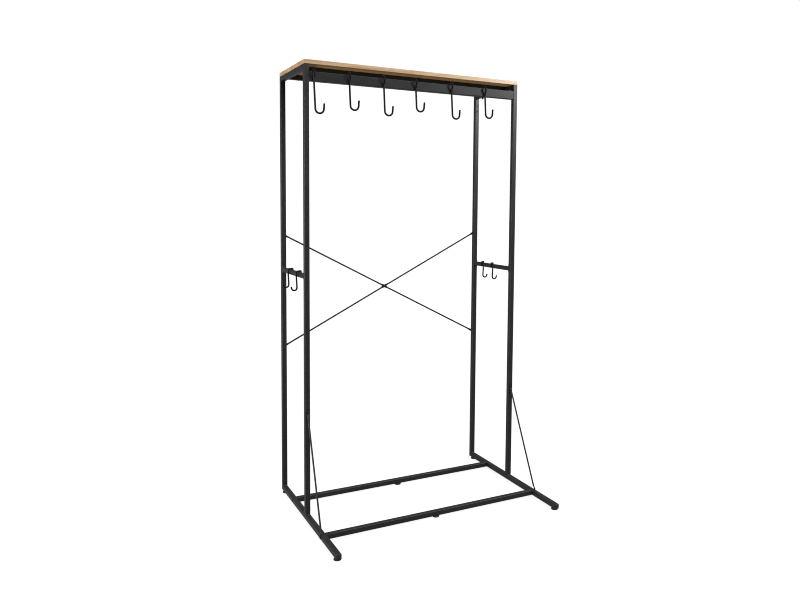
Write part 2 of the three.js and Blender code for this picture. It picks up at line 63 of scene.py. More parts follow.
BIKE_HOOKS = [(-494, .050, 1777.0), (-335, .045, 1801.0), (-174, .045, 1788.5),
              (-17, .050, 1816.5), (167, .055, 1795.6), (348, .055, 1810.5)]
SMALL_HOOKS = [(-1, 113), (-1, 244), (1, 211.5), (1, 307.5)]
SIDES = (("left", -1), ("right", 1))
# the crook over the rail: half an ellipse, its foremost line, the bend in the stem, the rear leg
CROOK_Y, CROOK_Z, CROOK_A, CROOK_B, CROOK_SKEW = 8.75, 1946.0, 22.95, 15.8, 9.0
FRONT_Y, BEND_Z = -4.9, 1922.0
LEG_END = [1917.0, 1917.0, 1917.0, 1917.0, 1917.0, 1906.5]
TIP = (1.4, 22.0)
ROOT = "rack"


def yy(d):
    return Y0 + d


def V(x, y, z):
    return Vector((x, y, z))


# ---------------------------------------------------------------- node materials
class Mat:
    """A node material built up in code; self.b is its Principled shader."""

    def __init__(self, name):
        self.m = bpy.data.materials.new(name)
        self.m.use_nodes = True
        self.t = self.m.node_tree
        self.t.nodes.clear()
        out = self.n("ShaderNodeOutputMaterial")
        self.b = self.n("ShaderNodeBsdfPrincipled")
        self.l(self.b.outputs["BSDF"], out.inputs["Surface"])
        self.tc = self.n("ShaderNodeTexCoord")
        self.geo = self.n("ShaderNodeNewGeometry")

    def n(self, kind, **kw):
        node = self.t.nodes.new(kind)
        for k, v in kw.items():
            setattr(node, k, v)
        return node

    def l(self, a, b):
        self.t.links.new(a, b)

    def coords(self, scale=(1, 1, 1), rot=(0, 0, 0), loc=(0, 0, 0)):
        mp = self.n("ShaderNodeMapping")
        mp.inputs["Scale"].default_value = scale
        mp.inputs["Rotation"].default_value = rot
        mp.inputs["Location"].default_value = loc
        self.l(self.tc.outputs["Object"], mp.inputs["Vector"])
        return mp.outputs["Vector"]

    def noise(self, vec, scale, detail=2.0, rough=0.5, dist=0.0, kind="Fac"):
        nd = self.n("ShaderNodeTexNoise")
        nd.inputs["Scale"].default_value = scale
        nd.inputs["Detail"].default_value = detail
        nd.inputs["Roughness"].default_value = rough
        nd.inputs["Distortion"].default_value = dist
        self.l(vec, nd.inputs["Vector"])
        return nd.outputs[kind]

    def ramp(self, fac, stops, interp="LINEAR"):
        r = self.n("ShaderNodeValToRGB")
        r.color_ramp.interpolation = interp
        el = r.color_ramp.elements
        while len(el) < len(stops):
            el.new(0.5)
        for e, (p, c) in zip(el, stops):
            e.position = p
            e.color = (*c, 1.0) if hasattr(c, "__len__") else (c, c, c, 1.0)
        self.l(fac, r.inputs["Fac"])
        return r.outputs["Color"]

    def mix(self, fac, a, b, blend="MIX"):
        m = self.n("ShaderNodeMix", data_type="RGBA", blend_type=blend)
        ins = [s for s in m.inputs if s.enabled]
        for s, v in zip(ins, (fac, a, b)):
            if isinstance(v, (int, float)):
                s.default_value = v
            elif isinstance(v, tuple):
                s.default_value = (*v, 1.0)
            else:
                self.l(v, s)
        return [s for s in m.outputs if s.enabled][0]

    def math(self, op, a, b=None, c=None, clamp=False):
        m = self.n("ShaderNodeMath", operation=op, use_clamp=clamp)
        for i, v in enumerate((a, b, c)):
            if v is None:
                continue
            if isinstance(v, (int, float)):
                m.inputs[i].default_value = v
            else:
                self.l(v, m.inputs[i])
        return m.outputs[0]

    def remap(self, fac, a, b, c, d, smooth=False):
        m = self.n("ShaderNodeMapRange", clamp=True)
        if smooth:
            m.interpolation_type = "SMOOTHSTEP"
        self.l(fac, m.inputs["Value"])
        for k, v in (("From Min", a), ("From Max", b), ("To Min", c), ("To Max", d)):
            m.inputs[k].default_value = v
        return m.outputs["Result"]

    def bump(self, height, distance, strength=1.0, normal=None):
        b = self.n("ShaderNodeBump")
        b.inputs["Strength"].default_value = strength
        b.inputs["Distance"].default_value = distance
        self.l(height, b.inputs["Height"])
        if normal is not None:
            self.l(normal, b.inputs["Normal"])
        return b.outputs["Normal"]

    def axis(self, socket, which):
        s = self.n("ShaderNodeSeparateXYZ")
        self.l(socket, s.inputs[0])
        return s.outputs[which]

    def attribute(self, name):
        a = self.n("ShaderNodeAttribute", attribute_name=name)
        return a.outputs["Fac"]


def powder_coat(name, base, rough, peel=1.0, dust=0.10, scuffs=0.5, shine=0.5):
    """Satin black powder coat: orange peel, faint cloudiness, settled dust and a few rubs."""
    g = Mat(name)
    o = g.coords()
    cloud = g.noise(o, 5.5, 4, 0.55)
    c0 = tuple(v * 0.82 for v in base)
    c1 = tuple(v * 1.22 for v in base)
    col = g.ramp(cloud, ((0.32, c0), (0.68, c1)))
    speck = g.noise(o, 1500, 1.5, 0.6)
    col = g.mix(g.remap(speck, 0.6, 0.76, 0, 0.35), col, tuple(v * 2.1 + 0.004 for v in base))
    # rubs: short strokes in three directions
    rub_n = []
    for sc in ((9, 160, 160), (160, 9, 160), (160, 160, 9)):
        rub_n.append(g.noise(g.coords(scale=sc), 1.0, 3, 0.6))
    rub = g.math("MAXIMUM", rub_n[0], g.math("MAXIMUM", rub_n[1], rub_n[2]))
    rub = g.remap(rub, 0.735, 0.80, 0, scuffs)
    patch = g.remap(g.noise(o, 2.3, 2, 0.5), 0.5, 0.62, 0, 1)
    rub = g.math("MULTIPLY", rub, patch)
    col = g.mix(rub, col, (0.075, 0.075, 0.078))
    # dust lies on what faces up
    up = g.remap(g.axis(g.geo.outputs["Normal"], 2), 0.35, 0.95, 0, 1, True)
    dn = g.remap(g.noise(o, 38, 5, 0.62), 0.36, 0.72, 0.25, 1)
    dfac = g.math("MULTIPLY", g.math("MULTIPLY", up, dn), dust)
    col = g.mix(dfac, col, (0.17, 0.165, 0.155))
    g.l(col, g.b.inputs["Base Color"])
    r = g.remap(g.noise(o, 11, 4, 0.6), 0.3, 0.7, rough[0], rough[1])
    r = g.math("ADD", r, g.math("MULTIPLY", dfac, 0.35))
    r = g.math("SUBTRACT", r, g.math("MULTIPLY", rub, 0.10), clamp=True)
    g.l(r, g.b.inputs["Roughness"])
    h1 = g.noise(o, 330, 2, 0.45)
    h2 = g.noise(o, 1250, 2, 0.5)
    n1 = g.bump(h1, 0.000055 * peel, 0.9)
    n2 = g.bump(h2, 0.000014 * peel, 0.8, n1)
    g.l(n2, g.b.inputs["Normal"])
    g.b.inputs["IOR"].default_value = 1.5
    g.b.inputs["Specular IOR Level"].default_value = shine
    return g.m


def hook_coat(name):
    """Coated round rod: smoother and glossier than the frame, rubbed where it bears."""
    g = Mat(name)
    o = g.coords()
    col = g.ramp(g.noise(o, 14, 4, 0.55), ((0.3, (0.0032, 0.0033, 0.0035)), (0.7, (0.0058, 0.0059, 0.0063))))
    wear = g.attribute("wear")
    flecks = g.remap(g.noise(o, 260, 5, 0.65), 0.42, 0.60, 0, 1)
    w = g.math("MULTIPLY", g.math("MULTIPLY", wear, flecks), 0.26)
    col = g.mix(w, col, (0.20, 0.195, 0.185))
    up = g.remap(g.axis(g.geo.outputs["Normal"], 2), 0.4, 0.95, 0, 1, True)
    dfac = g.math("MULTIPLY", g.math("MULTIPLY", up, g.remap(g.noise(o, 60, 5, 0.6), 0.38, 0.7, 0.2, 1)), 0.06)
    col = g.mix(dfac, col, (0.17, 0.165, 0.155))
    g.l(col, g.b.inputs["Base Color"])
    g.l(g.math("MULTIPLY", w, 0.55), g.b.inputs["Metallic"])
    g.b.inputs["Specular IOR Level"].default_value = 0.15
    r = g.remap(g.noise(o, 22, 4, 0.6), 0.3, 0.7, 0.25, 0.36)
    r = g.math("ADD", r, g.math("MULTIPLY", dfac, 0.5))
    r = g.math("ADD", r, g.math("MULTIPLY", wear, 0.05), clamp=True)
    g.l(r, g.b.inputs["Roughness"])
    n1 = g.bump(g.noise(o, 420, 2, 0.5), 0.00003, 0.8)
    n2 = g.bump(g.noise(o, 1500, 2, 0.5), 0.000008, 0.7, n1)
    g.l(n2, g.b.inputs["Normal"])
    return g.m


def bolt_metal(name):
    """Black-passivated steel with bright rubs and a faint fine bump."""
    g = Mat(name)
    o = g.coords()
    col = g.ramp(g.noise(o, 120, 4, 0.6), ((0.3, (0.022, 0.022, 0.024)), (0.7, (0.055, 0.054, 0.054))))
    spots = g.remap(g.noise(o, 520, 4, 0.7), 0.60, 0.72, 0, 0.7)
    col = g.mix(spots, col, (0.22, 0.21, 0.20))
    g.l(col, g.b.inputs["Base Color"])
    g.b.inputs["Metallic"].default_value = 0.75
    g.l(g.remap(g.noise(o, 90, 4, 0.6), 0.3, 0.7, 0.28, 0.46), g.b.inputs["Roughness"])
    g.l(g.bump(g.noise(o, 1900, 2, 0.5), 0.000012, 0.8), g.b.inputs["Normal"])
    return g.m


def moulded(name, base, rough, grain=1.0):
    """Injection-moulded black plastic with a spark-eroded grain."""
    g = Mat(name)
    o = g.coords()
    c0, c1 = tuple(v * 0.85 for v in base), tuple(v * 1.25 for v in base)
    col = g.ramp(g.noise(o, 30, 3, 0.5), ((0.3, c0), (0.7, c1)))
    up = g.remap(g.axis(g.geo.outputs["Normal"], 2), 0.35, 0.95, 0, 1, True)
    dfac = g.math("MULTIPLY", g.math("MULTIPLY", up, g.remap(g.noise(o, 70, 5, 0.6), 0.36, 0.7, 0.25, 1)), 0.3)
    col = g.mix(dfac, col, (0.17, 0.165, 0.155))
    scuff = g.remap(g.noise(g.coords(scale=(420, 420, 60)), 1.0, 3, 0.6), 0.66, 0.74, 0, 0.35)
    col = g.mix(scuff, col, (0.06, 0.06, 0.06))
    g.l(col, g.b.inputs["Base Color"])
    g.l(g.remap(g.noise(o, 45, 4, 0.6), 0.3, 0.7, rough[0], rough[1]), g.b.inputs["Roughness"])
    v = g.n("ShaderNodeTexVoronoi", feature="SMOOTH_F1")
    v.inputs["Scale"].default_value = 1700
    g.l(o, v.inputs["Vector"])
    n1 = g.bump(v.outputs["Distance"], 0.000025 * grain, 0.8)
    n2 = g.bump(g.noise(o, 900, 2, 0.5), 0.00002 * grain, 0.6, n1)
    g.l(n2, g.b.inputs["Normal"])
    return g.m


def oak(name, along, ring_centre, tint=1.0, rough=(0.60, 0.74), shine=0.15):
    """Light oak: growth rings cut at a shallow angle, fibre streaks, open pores and rays.
    along is the axis the grain runs on, 0 = X or 1 = Y; tint is one factor or one per channel."""
    g = Mat(name)
    tint = tint if isinstance(tint, tuple) else (tint, tint, tint)
    # turn so that the grain runs along the texture's X
    rot = (0, 0, 0) if along == 0 else (0, 0, -math.pi / 2)
    base = g.coords(rot=rot)
    # slow wander of the fibres
    wander = g.noise(g.coords(scale=(1.3, 5, 5), rot=rot), 1.0, 2, 0.5, kind="Color")
    shift = g.n("ShaderNodeVectorMath", operation="MULTIPLY_ADD")
    g.l(wander, shift.inputs[0])
    shift.inputs[1].default_value = (0.0, 0.055, 0.030)
    g.l(base, shift.inputs[2])
    mp = g.n("ShaderNodeMapping")
    mp.inputs["Location"].default_value = ring_centre
    mp.inputs["Rotation"].default_value = (0.0, math.radians(3.2), math.radians(1.4))
    g.l(shift.outputs[0], mp.inputs["Vector"])
    wave = g.n("ShaderNodeTexWave", wave_type="RINGS", rings_direction="X", wave_profile="SAW")
    wave.inputs["Scale"].default_value = 34
    wave.inputs["Distortion"].default_value = 3.2
    wave.inputs["Detail"].default_value = 3
    wave.inputs["Detail Scale"].default_value = 0.9
    wave.inputs["Detail Roughness"].default_value = 0.55
    g.l(mp.outputs["Vector"], wave.inputs["Vector"])
    ring = wave.outputs["Fac"]
    light = tuple(v * k for v, k in zip((0.610, 0.410, 0.215), tint))
    mid = tuple(v * k for v, k in zip((0.535, 0.345, 0.168), tint))
    dark = tuple(v * k for v, k in zip((0.385, 0.232, 0.102), tint))
    col = g.ramp(ring, ((0.0, light), (0.55, mid), (0.86, dark), (1.0, light)))
    # broad tone changes and long fibre streaks
    broad = g.noise(g.coords(scale=(0.8, 5, 5), rot=rot), 1.0, 3, 0.55)
    col = g.mix(g.remap(broad, 0.35, 0.68, 0, 0.55), col, mid)
    streak = g.noise(g.coords(scale=(9, 330, 330), rot=rot), 1.0, 4, 0.6)
    col = g.mix(g.remap(streak, 0.45, 0.75, 0, 0.34), col, dark)
    fine = g.noise(g.coords(scale=(32, 1300, 1300), rot=rot), 1.0, 3, 0.6)
    pores = g.remap(fine, 0.60, 0.70, 0, 1)
    dense = g.remap(ring, 0.45, 0.9, 0.25, 1)
    pores = g.math("MULTIPLY", pores, dense)
    col = g.mix(g.math("MULTIPLY", pores, 0.55), col, tuple(v * k for v, k in zip((0.27, 0.165, 0.085), tint)))
    # medullary flecks
    fl = g.noise(g.coords(scale=(55, 420, 420), rot=rot, loc=(3.1, 1.7, 0.4)), 1.0, 2, 0.5)
    col = g.mix(g.remap(fl, 0.66, 0.74, 0, 0.4), col, tuple(min(1, v * 1.1) for v in light))
    g.l(col, g.b.inputs["Base Color"])
    g.b.inputs["Specular IOR Level"].default_value = shine
    r = g.remap(streak, 0.3, 0.7, rough[0], rough[1])
    r = g.math("ADD", r, g.math("MULTIPLY", pores, 0.12), clamp=True)
    g.l(r, g.b.inputs["Roughness"])
    n1 = g.bump(g.math("SUBTRACT", 1.0, pores), 0.00012, 0.7)
    n2 = g.bump(streak, 0.00008, 0.6, n1)
    g.l(n2, g.b.inputs["Normal"])
    return g.m


def paper_floor(name):
    g = Mat(name)
    o = g.coords()
    col = g.ramp(g.noise(o, 1.7, 3, 0.5), ((0.3, (0.22, 0.22, 0.22)), (0.7, (0.235, 0.235, 0.235))))
    g.l(col, g.b.inputs["Base Color"])
    g.b.inputs["Emission Color"].default_value = (1, 1, 1, 1)
    g.b.inputs["Emission Strength"].default_value = 0.86
    g.l(g.remap(g.noise(o, 60, 3, 0.5), 0.3, 0.7, 0.55, 0.65), g.b.inputs["Roughness"])
    g.b.inputs["Specular IOR Level"].default_value = 0.25
    return g.m


M_FRAME = powder_coat("frame_powder_coat", (0.0105, 0.0108, 0.0122), (0.34, 0.44))
M_RAIL = powder_coat("rail_powder_coat", (0.0105, 0.0108, 0.0122), (0.34, 0.44), shine=0.33)
M_ROD = powder_coat("rod_powder_coat", (0.0075, 0.0077, 0.0086), (0.36, 0.46), dust=0.05, scuffs=0.3, shine=0.28)
M_HOOK = hook_coat("hook_coating")
M_BOLT = bolt_metal("black_bolt_steel")
M_CAP = moulded("cap_plastic", (0.013, 0.013, 0.0135), (0.50, 0.62))
M_GLIDE = moulded("glide_plastic_black", (0.012, 0.012, 0.0125), (0.42, 0.55), 0.8)
M_OAK = oak("oak_faces", 0, (0.35, -0.215, -1.905))
M_OAK_EDGE = oak("oak_long_edges", 0, (0.35, -0.215, -1.905), 1.03, (0.34, 0.44), 0.95)
M_OAK_SIDE = oak("oak_short_edges", 1, (0.2, 0.48, -1.93), 0.86, (0.42, 0.52), 0.5)
# a warmer, brighter copy of the oak for the board's underside: painted warm light, standing in for bounce light under
# the board
M_OAK_UNDER_PAINTED_LIGHT = oak("oak_underside_painted_warm_light", 0, (0.35, -0.215, -1.905), (1.20, 1.09, 0.88))


# ---------------------------------------------------------------- mesh building
def link(name, verts, faces, mats, face_mats=None):
    me = bpy.data.meshes.new(name)
    me.from_pydata([(v[0] * MM, v[1] * MM, v[2] * MM) for v in verts], [], faces)
    for m in mats:
        me.materials.append(m)
    if face_mats:
        me.polygons.foreach_set("material_index", face_mats)
    me.update()
    ob = bpy.data.objects.new(name, me)
    scene.collection.objects.link(ob)
    return ob


def apply_all(ob):
    """Applies every modifier on ob."""
    dg = bpy.context.evaluated_depsgraph_get()
    dg.update()
    me = bpy.data.meshes.new_from_object(ob.evaluated_get(dg), preserve_all_data_layers=True, depsgraph=dg)
    old = ob.data
    ob.modifiers.clear()
    ob.data = me
    me.name = old.name
    bpy.data.meshes.remove(old)


def recalc(ob):
    bm = bmesh.new()
    bm.from_mesh(ob.data)
    bmesh.ops.recalc_face_normals(bm, faces=bm.faces)
    bm.to_mesh(ob.data)
    bm.free()


def shade(ob, angle=33, weighted=True):
    ob.data.shade_smooth()
    ob.data.set_sharp_from_angle(angle=math.radians(angle))
    if weighted:
        w = ob.modifiers.new("normals", "WEIGHTED_NORMAL")
        w.keep_sharp = True
        w.weight = 60
        apply_all(ob)


def rings_mesh(name, rings, mats, cap_a=True, cap_b=True, loop=False):
    """Quads between successive rings of equally many points; flat caps at the ends."""
    n = len(rings[0])
    verts = [p for r in rings for p in r]
    faces = []
    m = len(rings)
    for k in range(m if loop else m - 1):
        a, b = k * n, ((k + 1) % m) * n
        for i in range(n):
            j = (i + 1) % n
            faces.append((a + i, a + j, b + j, b + i))
    if not loop:
        if cap_a:
            faces.append(tuple(range(n - 1, -1, -1)))
        if cap_b:
            faces.append(tuple((m - 1) * n + i for i in range(n)))
    ob = link(name, verts, faces, mats)
    recalc(ob)
    return ob


def rect_profile(w, h, r, n=6):
    pts = []
    for cx, cy, a0 in ((w / 2 - r, -h / 2 + r, -90), (w / 2 - r, h / 2 - r, 0),
                       (-w / 2 + r, h / 2 - r, 90), (-w / 2 + r, -h / 2 + r, 180)):
        for i in range(n + 1):
            a = math.radians(a0 + 90 * i / n)
            pts.append((cx + r * math.cos(a), cy + r * math.sin(a)))
    return pts


def place(axis, u, v, s, centre):
    """Section coordinates u, v at the distance s along an axis."""
    if axis == "z":
        return V(centre[0] + u, centre[1] + v, s)
    if axis == "x":
        return V(s, centre[1] + u, centre[2] + v)
    return V(centre[0] + v, s, centre[2] + u)


def drill(ob, holes, sides=28):
    """Cuts round holes: (axis, diameter, length, centre)."""
    made = []
    for axis, d, length, c in holes:
        bm = bmesh.new()
        bmesh.ops.create_cone(bm, cap_ends=True, segments=sides, radius1=d / 2 * MM, radius2=d / 2 * MM, depth=length * MM)
        rot = {"x": Matrix.Rotation(math.pi / 2, 4, "Y"), "y": Matrix.Rotation(math.pi / 2, 4, "X"), "z": Matrix.Identity(4)}[axis]
        bm.transform(Matrix.Translation(Vector(c) * MM) @ rot)
        me = bpy.data.meshes.new("cutter")
        bm.to_mesh(me)
        bm.free()
        cutter = bpy.data.objects.new("cutter", me)
        scene.collection.objects.link(cutter)
        made.append(cutter)
        mod = ob.modifiers.new("hole", "BOOLEAN")
        mod.operation = "DIFFERENCE"
        mod.solver = "EXACT"
        mod.object = cutter
    apply_all(ob)
    for c in made:
        me = c.data
        bpy.data.objects.remove(c)
        bpy.data.meshes.remove(me)


def tube(name, axis, a, b, centre, w=TUBE, h=TUBE, wall=WALL, corner=CORNER, holes=(), mat=None, ease=0.35):
    """Hollow square tube with rounded corners and deburred ends."""
    def ring(s, grow, W=w, H=h, r=corner):
        return [place(axis, u, v, s, centre) for u, v in rect_profile(W + 2 * grow, H + 2 * grow, max(r + grow, 0.25))]
    inner = lambda s, g=0: ring(s, g, w - 2 * wall, h - 2 * wall, max(corner - wall, 0.6))
    rings = [ring(a, -ease), ring(a + ease * 0.3, -ease * 0.3), ring(a + ease, 0), ring(b - ease, 0),
             ring(b - ease * 0.3, -ease * 0.3), ring(b, -ease), inner(b), inner(a)]
    ob = rings_mesh(name, rings, [mat or M_FRAME], loop=True)
    if holes:
        drill(ob, holes)
    shade(ob, 38)
    return ob


def join(name, obs):
    """Joins meshes of one piece into one object."""
    bm = bmesh.new()
    mats = []
    for o in obs:
        base = len(mats)
        mats += [m for m in o.data.materials]
        t = bmesh.new()
        t.from_mesh(o.data)
        for f in t.faces:
            f.material_index += base
        me = bpy.data.meshes.new("part")
        t.to_mesh(me)
        t.free()
        bm.from_mesh(me)
        bpy.data.meshes.remove(me)
    me = bpy.data.meshes.new(name)
    bm.to_mesh(me)
    bm.free()
    for m in mats:
        me.materials.append(m)
    ob = bpy.data.objects.new(name, me)
    scene.collection.objects.link(ob)
    for o in obs:
        d = o.data
        bpy.data.objects.remove(o)
        bpy.data.meshes.remove(d)
    return ob


def give(ob, body, slot, *nodes):
    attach(ob, body)
    if nodes:
        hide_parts(*nodes)
    return ob


def smooth_path(pts, passes=3, keep=1):
    pts = [p.copy() for p in pts]
    for _ in range(passes):
        new = [p.copy() for p in pts]
        for i in range(keep, len(pts) - keep):
            new[i] = pts[i] * 0.5 + (pts[i - 1] + pts[i + 1]) * 0.25
        pts = new
    return pts


def resample(pts, step):
    """Points at even spacing along a polyline."""
    out = [pts[0].copy()]
    for a, b in zip(pts, pts[1:]):
        L = (b - a).length
        k = max(1, round(L / step))
        for i in range(1, k + 1):
            out.append(a.lerp(b, i / k))
    return out


def rod_rings(pts, r, sides, dome=5, tip_scale=1.0):
    T = []
    for i in range(len(pts)):
        T.append((pts[min(i + 1, len(pts) - 1)] - pts[max(i - 1, 0)]).normalized())
    u = V(1, 0, 0)
    if abs(T[0].dot(u)) > 0.8:
        u = V(0, 1, 0)
    rings = []
    frames = []
    for p, t in zip(pts, T):
        u = (u - t * u.dot(t)).normalized()
        v = t.cross(u)
        frames.append((p, u.copy(), v, t))

    def circle(p, u, v, rad):
        return [p + u * (rad * math.cos(2 * math.pi * i / sides)) + v * (rad * math.sin(2 * math.pi * i / sides)) for i in range(sides)]
    p, u0, v0, t0 = frames[0]
    for k in range(dome, 0, -1):
        a = math.radians(90 * k / (dome + 0.35))
        rings.append(circle(p - t0 * (r * math.sin(a) * 0.72 * tip_scale), u0, v0, r * math.cos(a)))
    for p, u1, v1, t1 in frames:
        rings.append(circle(p, u1, v1, r))
    p, u1, v1, t1 = frames[-1]
    for k in range(1, dome + 1):
        a = math.radians(90 * k / (dome + 0.35))
        rings.append(circle(p + t1 * (r * math.sin(a) * 0.72 * tip_scale), u1, v1, r * math.cos(a)))
    return rings


def rod(name, pts, d, sides, mat, wear=None):
    rings = rod_rings(pts, d / 2, sides)
    ob = rings_mesh(name, rings, [mat])
    ob.data.shade_smooth()
    if wear is not None:
        at = ob.data.attributes.new("wear", "FLOAT", "POINT")
        at.data.foreach_set("value", [wear(Vector(v.co) / MM) for v in ob.data.vertices])
    return ob


def revolve(name, profile, mat, sides=48, axis=V(0, 0, 1), origin=V(0, 0, 0), angle=30, close=True):
    """profile: (height, radius) or (height, function of the angle). Closed at both ends."""
    q = V(0, 0, 1).rotation_difference(axis)
    rings = []
    for h, r in profile:
        ring = []
        for i in range(sides):
            t = 2 * math.pi * i / sides
            rr = r(t) if callable(r) else r
            p = V(rr * math.cos(t), rr * math.sin(t), h)
            ring.append(origin + q @ p)
        rings.append(ring)
    ob = rings_mesh(name, rings, [mat])
    shade(ob, angle, weighted=True)
    return ob


def hexagon(across, turn=0.0):
    """Radius of a hexagon of that size across its flats, at an angle."""
    def f(t):
        a = (t + turn) % (math.pi / 3) - math.pi / 6
        return across / 2 / math.cos(a)
    return f


def thread(r, pitch, z0, z1, depth, sides=24, steps=8):
    """Rings of a screw thread between two heights, as (height, function of angle)."""
    out = []
    n = max(2, int(abs(z1 - z0) / pitch * steps))
    for k in range(n + 1):
        z = z0 + (z1 - z0) * k / n
        fade = min(1.0, (k + 0.2) / steps, (n - k + 0.2) / steps)

        def f(t, z=z, fade=fade):
            ph = (z / pitch - t / (2 * math.pi)) % 1.0
            tri = abs(2 * ph - 1)
            return r - depth * fade * (0.15 + 0.85 * tri)
        out.append((z, f))
    return out


# ---------------------------------------------------------------- top board
def build_board():
    x, y0, y1, z0, z1 = WIDTH / 2, yy(0), yy(DEPTH), UNDER_BOARD + GAP, HEIGHT
    r = 1.1
    n = 4
    prof = []                                     # section: offset inwards, height
    prof.append((3.0, z0))
    for i in range(n + 1):
        a = math.radians(90 * i / n)
        prof.append((r - r * math.sin(a), z0 + r - r * math.cos(a)))
    for i in range(n + 1):
        a = math.radians(90 * i / n)
        prof.append((r - r * math.cos(a), z1 - r + r * math.sin(a)))
    prof.append((3.0, z1))

    def ring(off, z):
        cr = max(1.6 - off, 0.12)
        return [V(u, yy(DEPTH / 2) + v, z) for u, v in rect_profile(2 * (x - off), DEPTH - 2 * off, cr, 4)]
    rings = [ring(o, z) for o, z in prof]
    ob = rings_mesh("top_board_oak_panel", rings, [M_OAK, M_OAK_EDGE, M_OAK_SIDE, M_OAK_UNDER_PAINTED_LIGHT])
    # the edges are sealed; the grain of the two short ones runs across the board
    for f in ob.data.polygons:
        if abs(f.normal.x) > 0.6:
            f.material_index = 2
        elif abs(f.normal.y) > 0.6:
            f.material_index = 1
        # the underside takes the warmer, brighter oak copy: painted warm light from below
        elif f.normal.z < -0.6:
            f.material_index = 3
    shade(ob, 40)
    return give(ob, ROOT, "board_wood", "top_board")


build_board()

# ---------------------------------------------------------------- square-tube frame
JOINT_BOLT_Z = (1920.5, 1893.6)
for side, s in SIDES:
    fx, fy = s * X_MID, yy(TUBE / 2)
    ob = tube(f"{side}_front_upright_tube", "z", FOOT_TOP + GAP, UNDER_BOARD, (fx, fy, 0),
              holes=[("y", 5.8, 8, (fx, yy(0), FOOT_BRACE_Z))])
    give(ob, ROOT, "frame_metal", f"{side}_front_upright")
    ry = yy(DEPTH - TUBE / 2)
    ob = tube(f"{side}_rear_upright_tube", "z", FOOT_TOP + GAP, SEAM_Z - GAP / 2, (fx, ry, 0),
              holes=[("y", 5.8, 8, (fx, yy(DEPTH), z)) for z in (BRACE_TOP, BRACE_LOW)])
    give(ob, ROOT, "frame_metal", f"{side}_rear_upright")
    ob = tube(f"{side}_rear_upright_top_tube", "z", SEAM_Z + GAP / 2, UNDER_BOARD, (fx, ry, 0),
              holes=[("y", 5.8, 8, (fx, yy(DEPTH - TUBE), z)) for z in JOINT_BOLT_Z])
    give(ob, ROOT, "frame_metal", f"{side}_rear_upright_top")
    ob = tube(f"{side}_top_rail_tube", "y", yy(TUBE + GAP), yy(DEPTH - TUBE - GAP), (fx, 0, UNDER_BOARD - TUBE / 2))
    give(ob, ROOT, "frame_metal", f"{side}_top_rail")
    ob = tube(f"{side}_foot_rail_tube", "y", yy(FOOT_FRONT + 3 + GAP), yy(FOOT_REAR - 3 - GAP), (fx, 0, FOOT_MID),
              holes=[("x", 5.8, 30, (fx, yy(BAR_FRONT), FOOT_MID)), ("x", 5.8, 30, (fx, yy(BAR_REAR), FOOT_MID)),
                     ("z", 8.8, 8, (fx, yy(FOOT_FRONT + 20), GLIDE_H)), ("z", 8.8, 8, (fx, yy(FOOT_REAR - 32), GLIDE_H))])
    give(ob, ROOT, "frame_metal", f"{side}_foot_rail")

for name, y in (("front", SUPPORT_FRONT), ("rear", SUPPORT_REAR)):
    ob = tube(f"{name}_board_support_tube", "x", -X_IN + GAP, X_IN - GAP, (0, yy(y + TUBE / 2), UNDER_BOARD - TUBE / 2))
    give(ob, ROOT, "frame_metal", f"{name}_board_support")
ob = tube("hook_rail_tube", "x", -X_IN + GAP, X_IN - GAP, (0, yy(HOOK_RAIL_D / 2), HOOK_RAIL_TOP - HOOK_RAIL_H / 2),
          HOOK_RAIL_D, HOOK_RAIL_H, corner=2.2, mat=M_RAIL)
give(ob, ROOT, "frame_metal", "hook_rail")
for name, y in (("front", BAR_FRONT), ("rear", BAR_REAR)):
    ob = tube(f"{name}_cross_bar_tube", "x", -X_IN + GAP, X_IN - GAP, (0, yy(y), FOOT_MID),
              holes=[("z", 8.8, 8, (0, yy(y), GLIDE_H))])
    give(ob, ROOT, "frame_metal", f"{name}_cross_bar")


# ---------------------------------------------------------------- weld beads
def weld(name, path, r=1.5, pitch=2.6, seed=0.0, sides=10):
    """A bead laid along a path, with the ripples of its passes."""
    pts = resample(path, 0.65)
    rings = []
    L = 0.0
    u = None
    for i, p in enumerate(pts):
        t = (pts[min(i + 1, len(pts) - 1)] - pts[max(i - 1, 0)]).normalized()
        if u is None:
            u = t.orthogonal().normalized()
        u = (u - t * u.dot(t)).normalized()
        v = t.cross(u)
        if i:
            L += (p - pts[i - 1]).length
        ph = (L / pitch + seed) % 1.0
        swell = 0.86 + 0.14 * math.sqrt(max(0.0, 1 - (2 * ph - 1) ** 2)) + 0.05 * math.sin(L * 0.9 + seed * 7)
        e = min(1.0, (i + 0.6) / 3, (len(pts) - 1 - i + 0.6) / 3)
        rad = r * swell * math.sqrt(e)
        rings.append([p + u * (rad * math.cos(2 * math.pi * k / sides)) + v * (rad * math.sin(2 * math.pi * k / sides))
                      for k in range(sides)])
    ob = rings_mesh(name, rings, [M_FRAME])
    ob.data.shade_smooth()
    return ob


def welds(name, paths, r=1.5):
    ob = join(name, [weld(f"{name}_{i}", p, r, seed=0.37 * i) for i, p in enumerate(paths)])
    ob.data.materials.clear()
    ob.data.materials.append(M_FRAME)
    for f in ob.data.polygons:
        f.material_index = 0
    return give(ob, ROOT, "frame_metal")


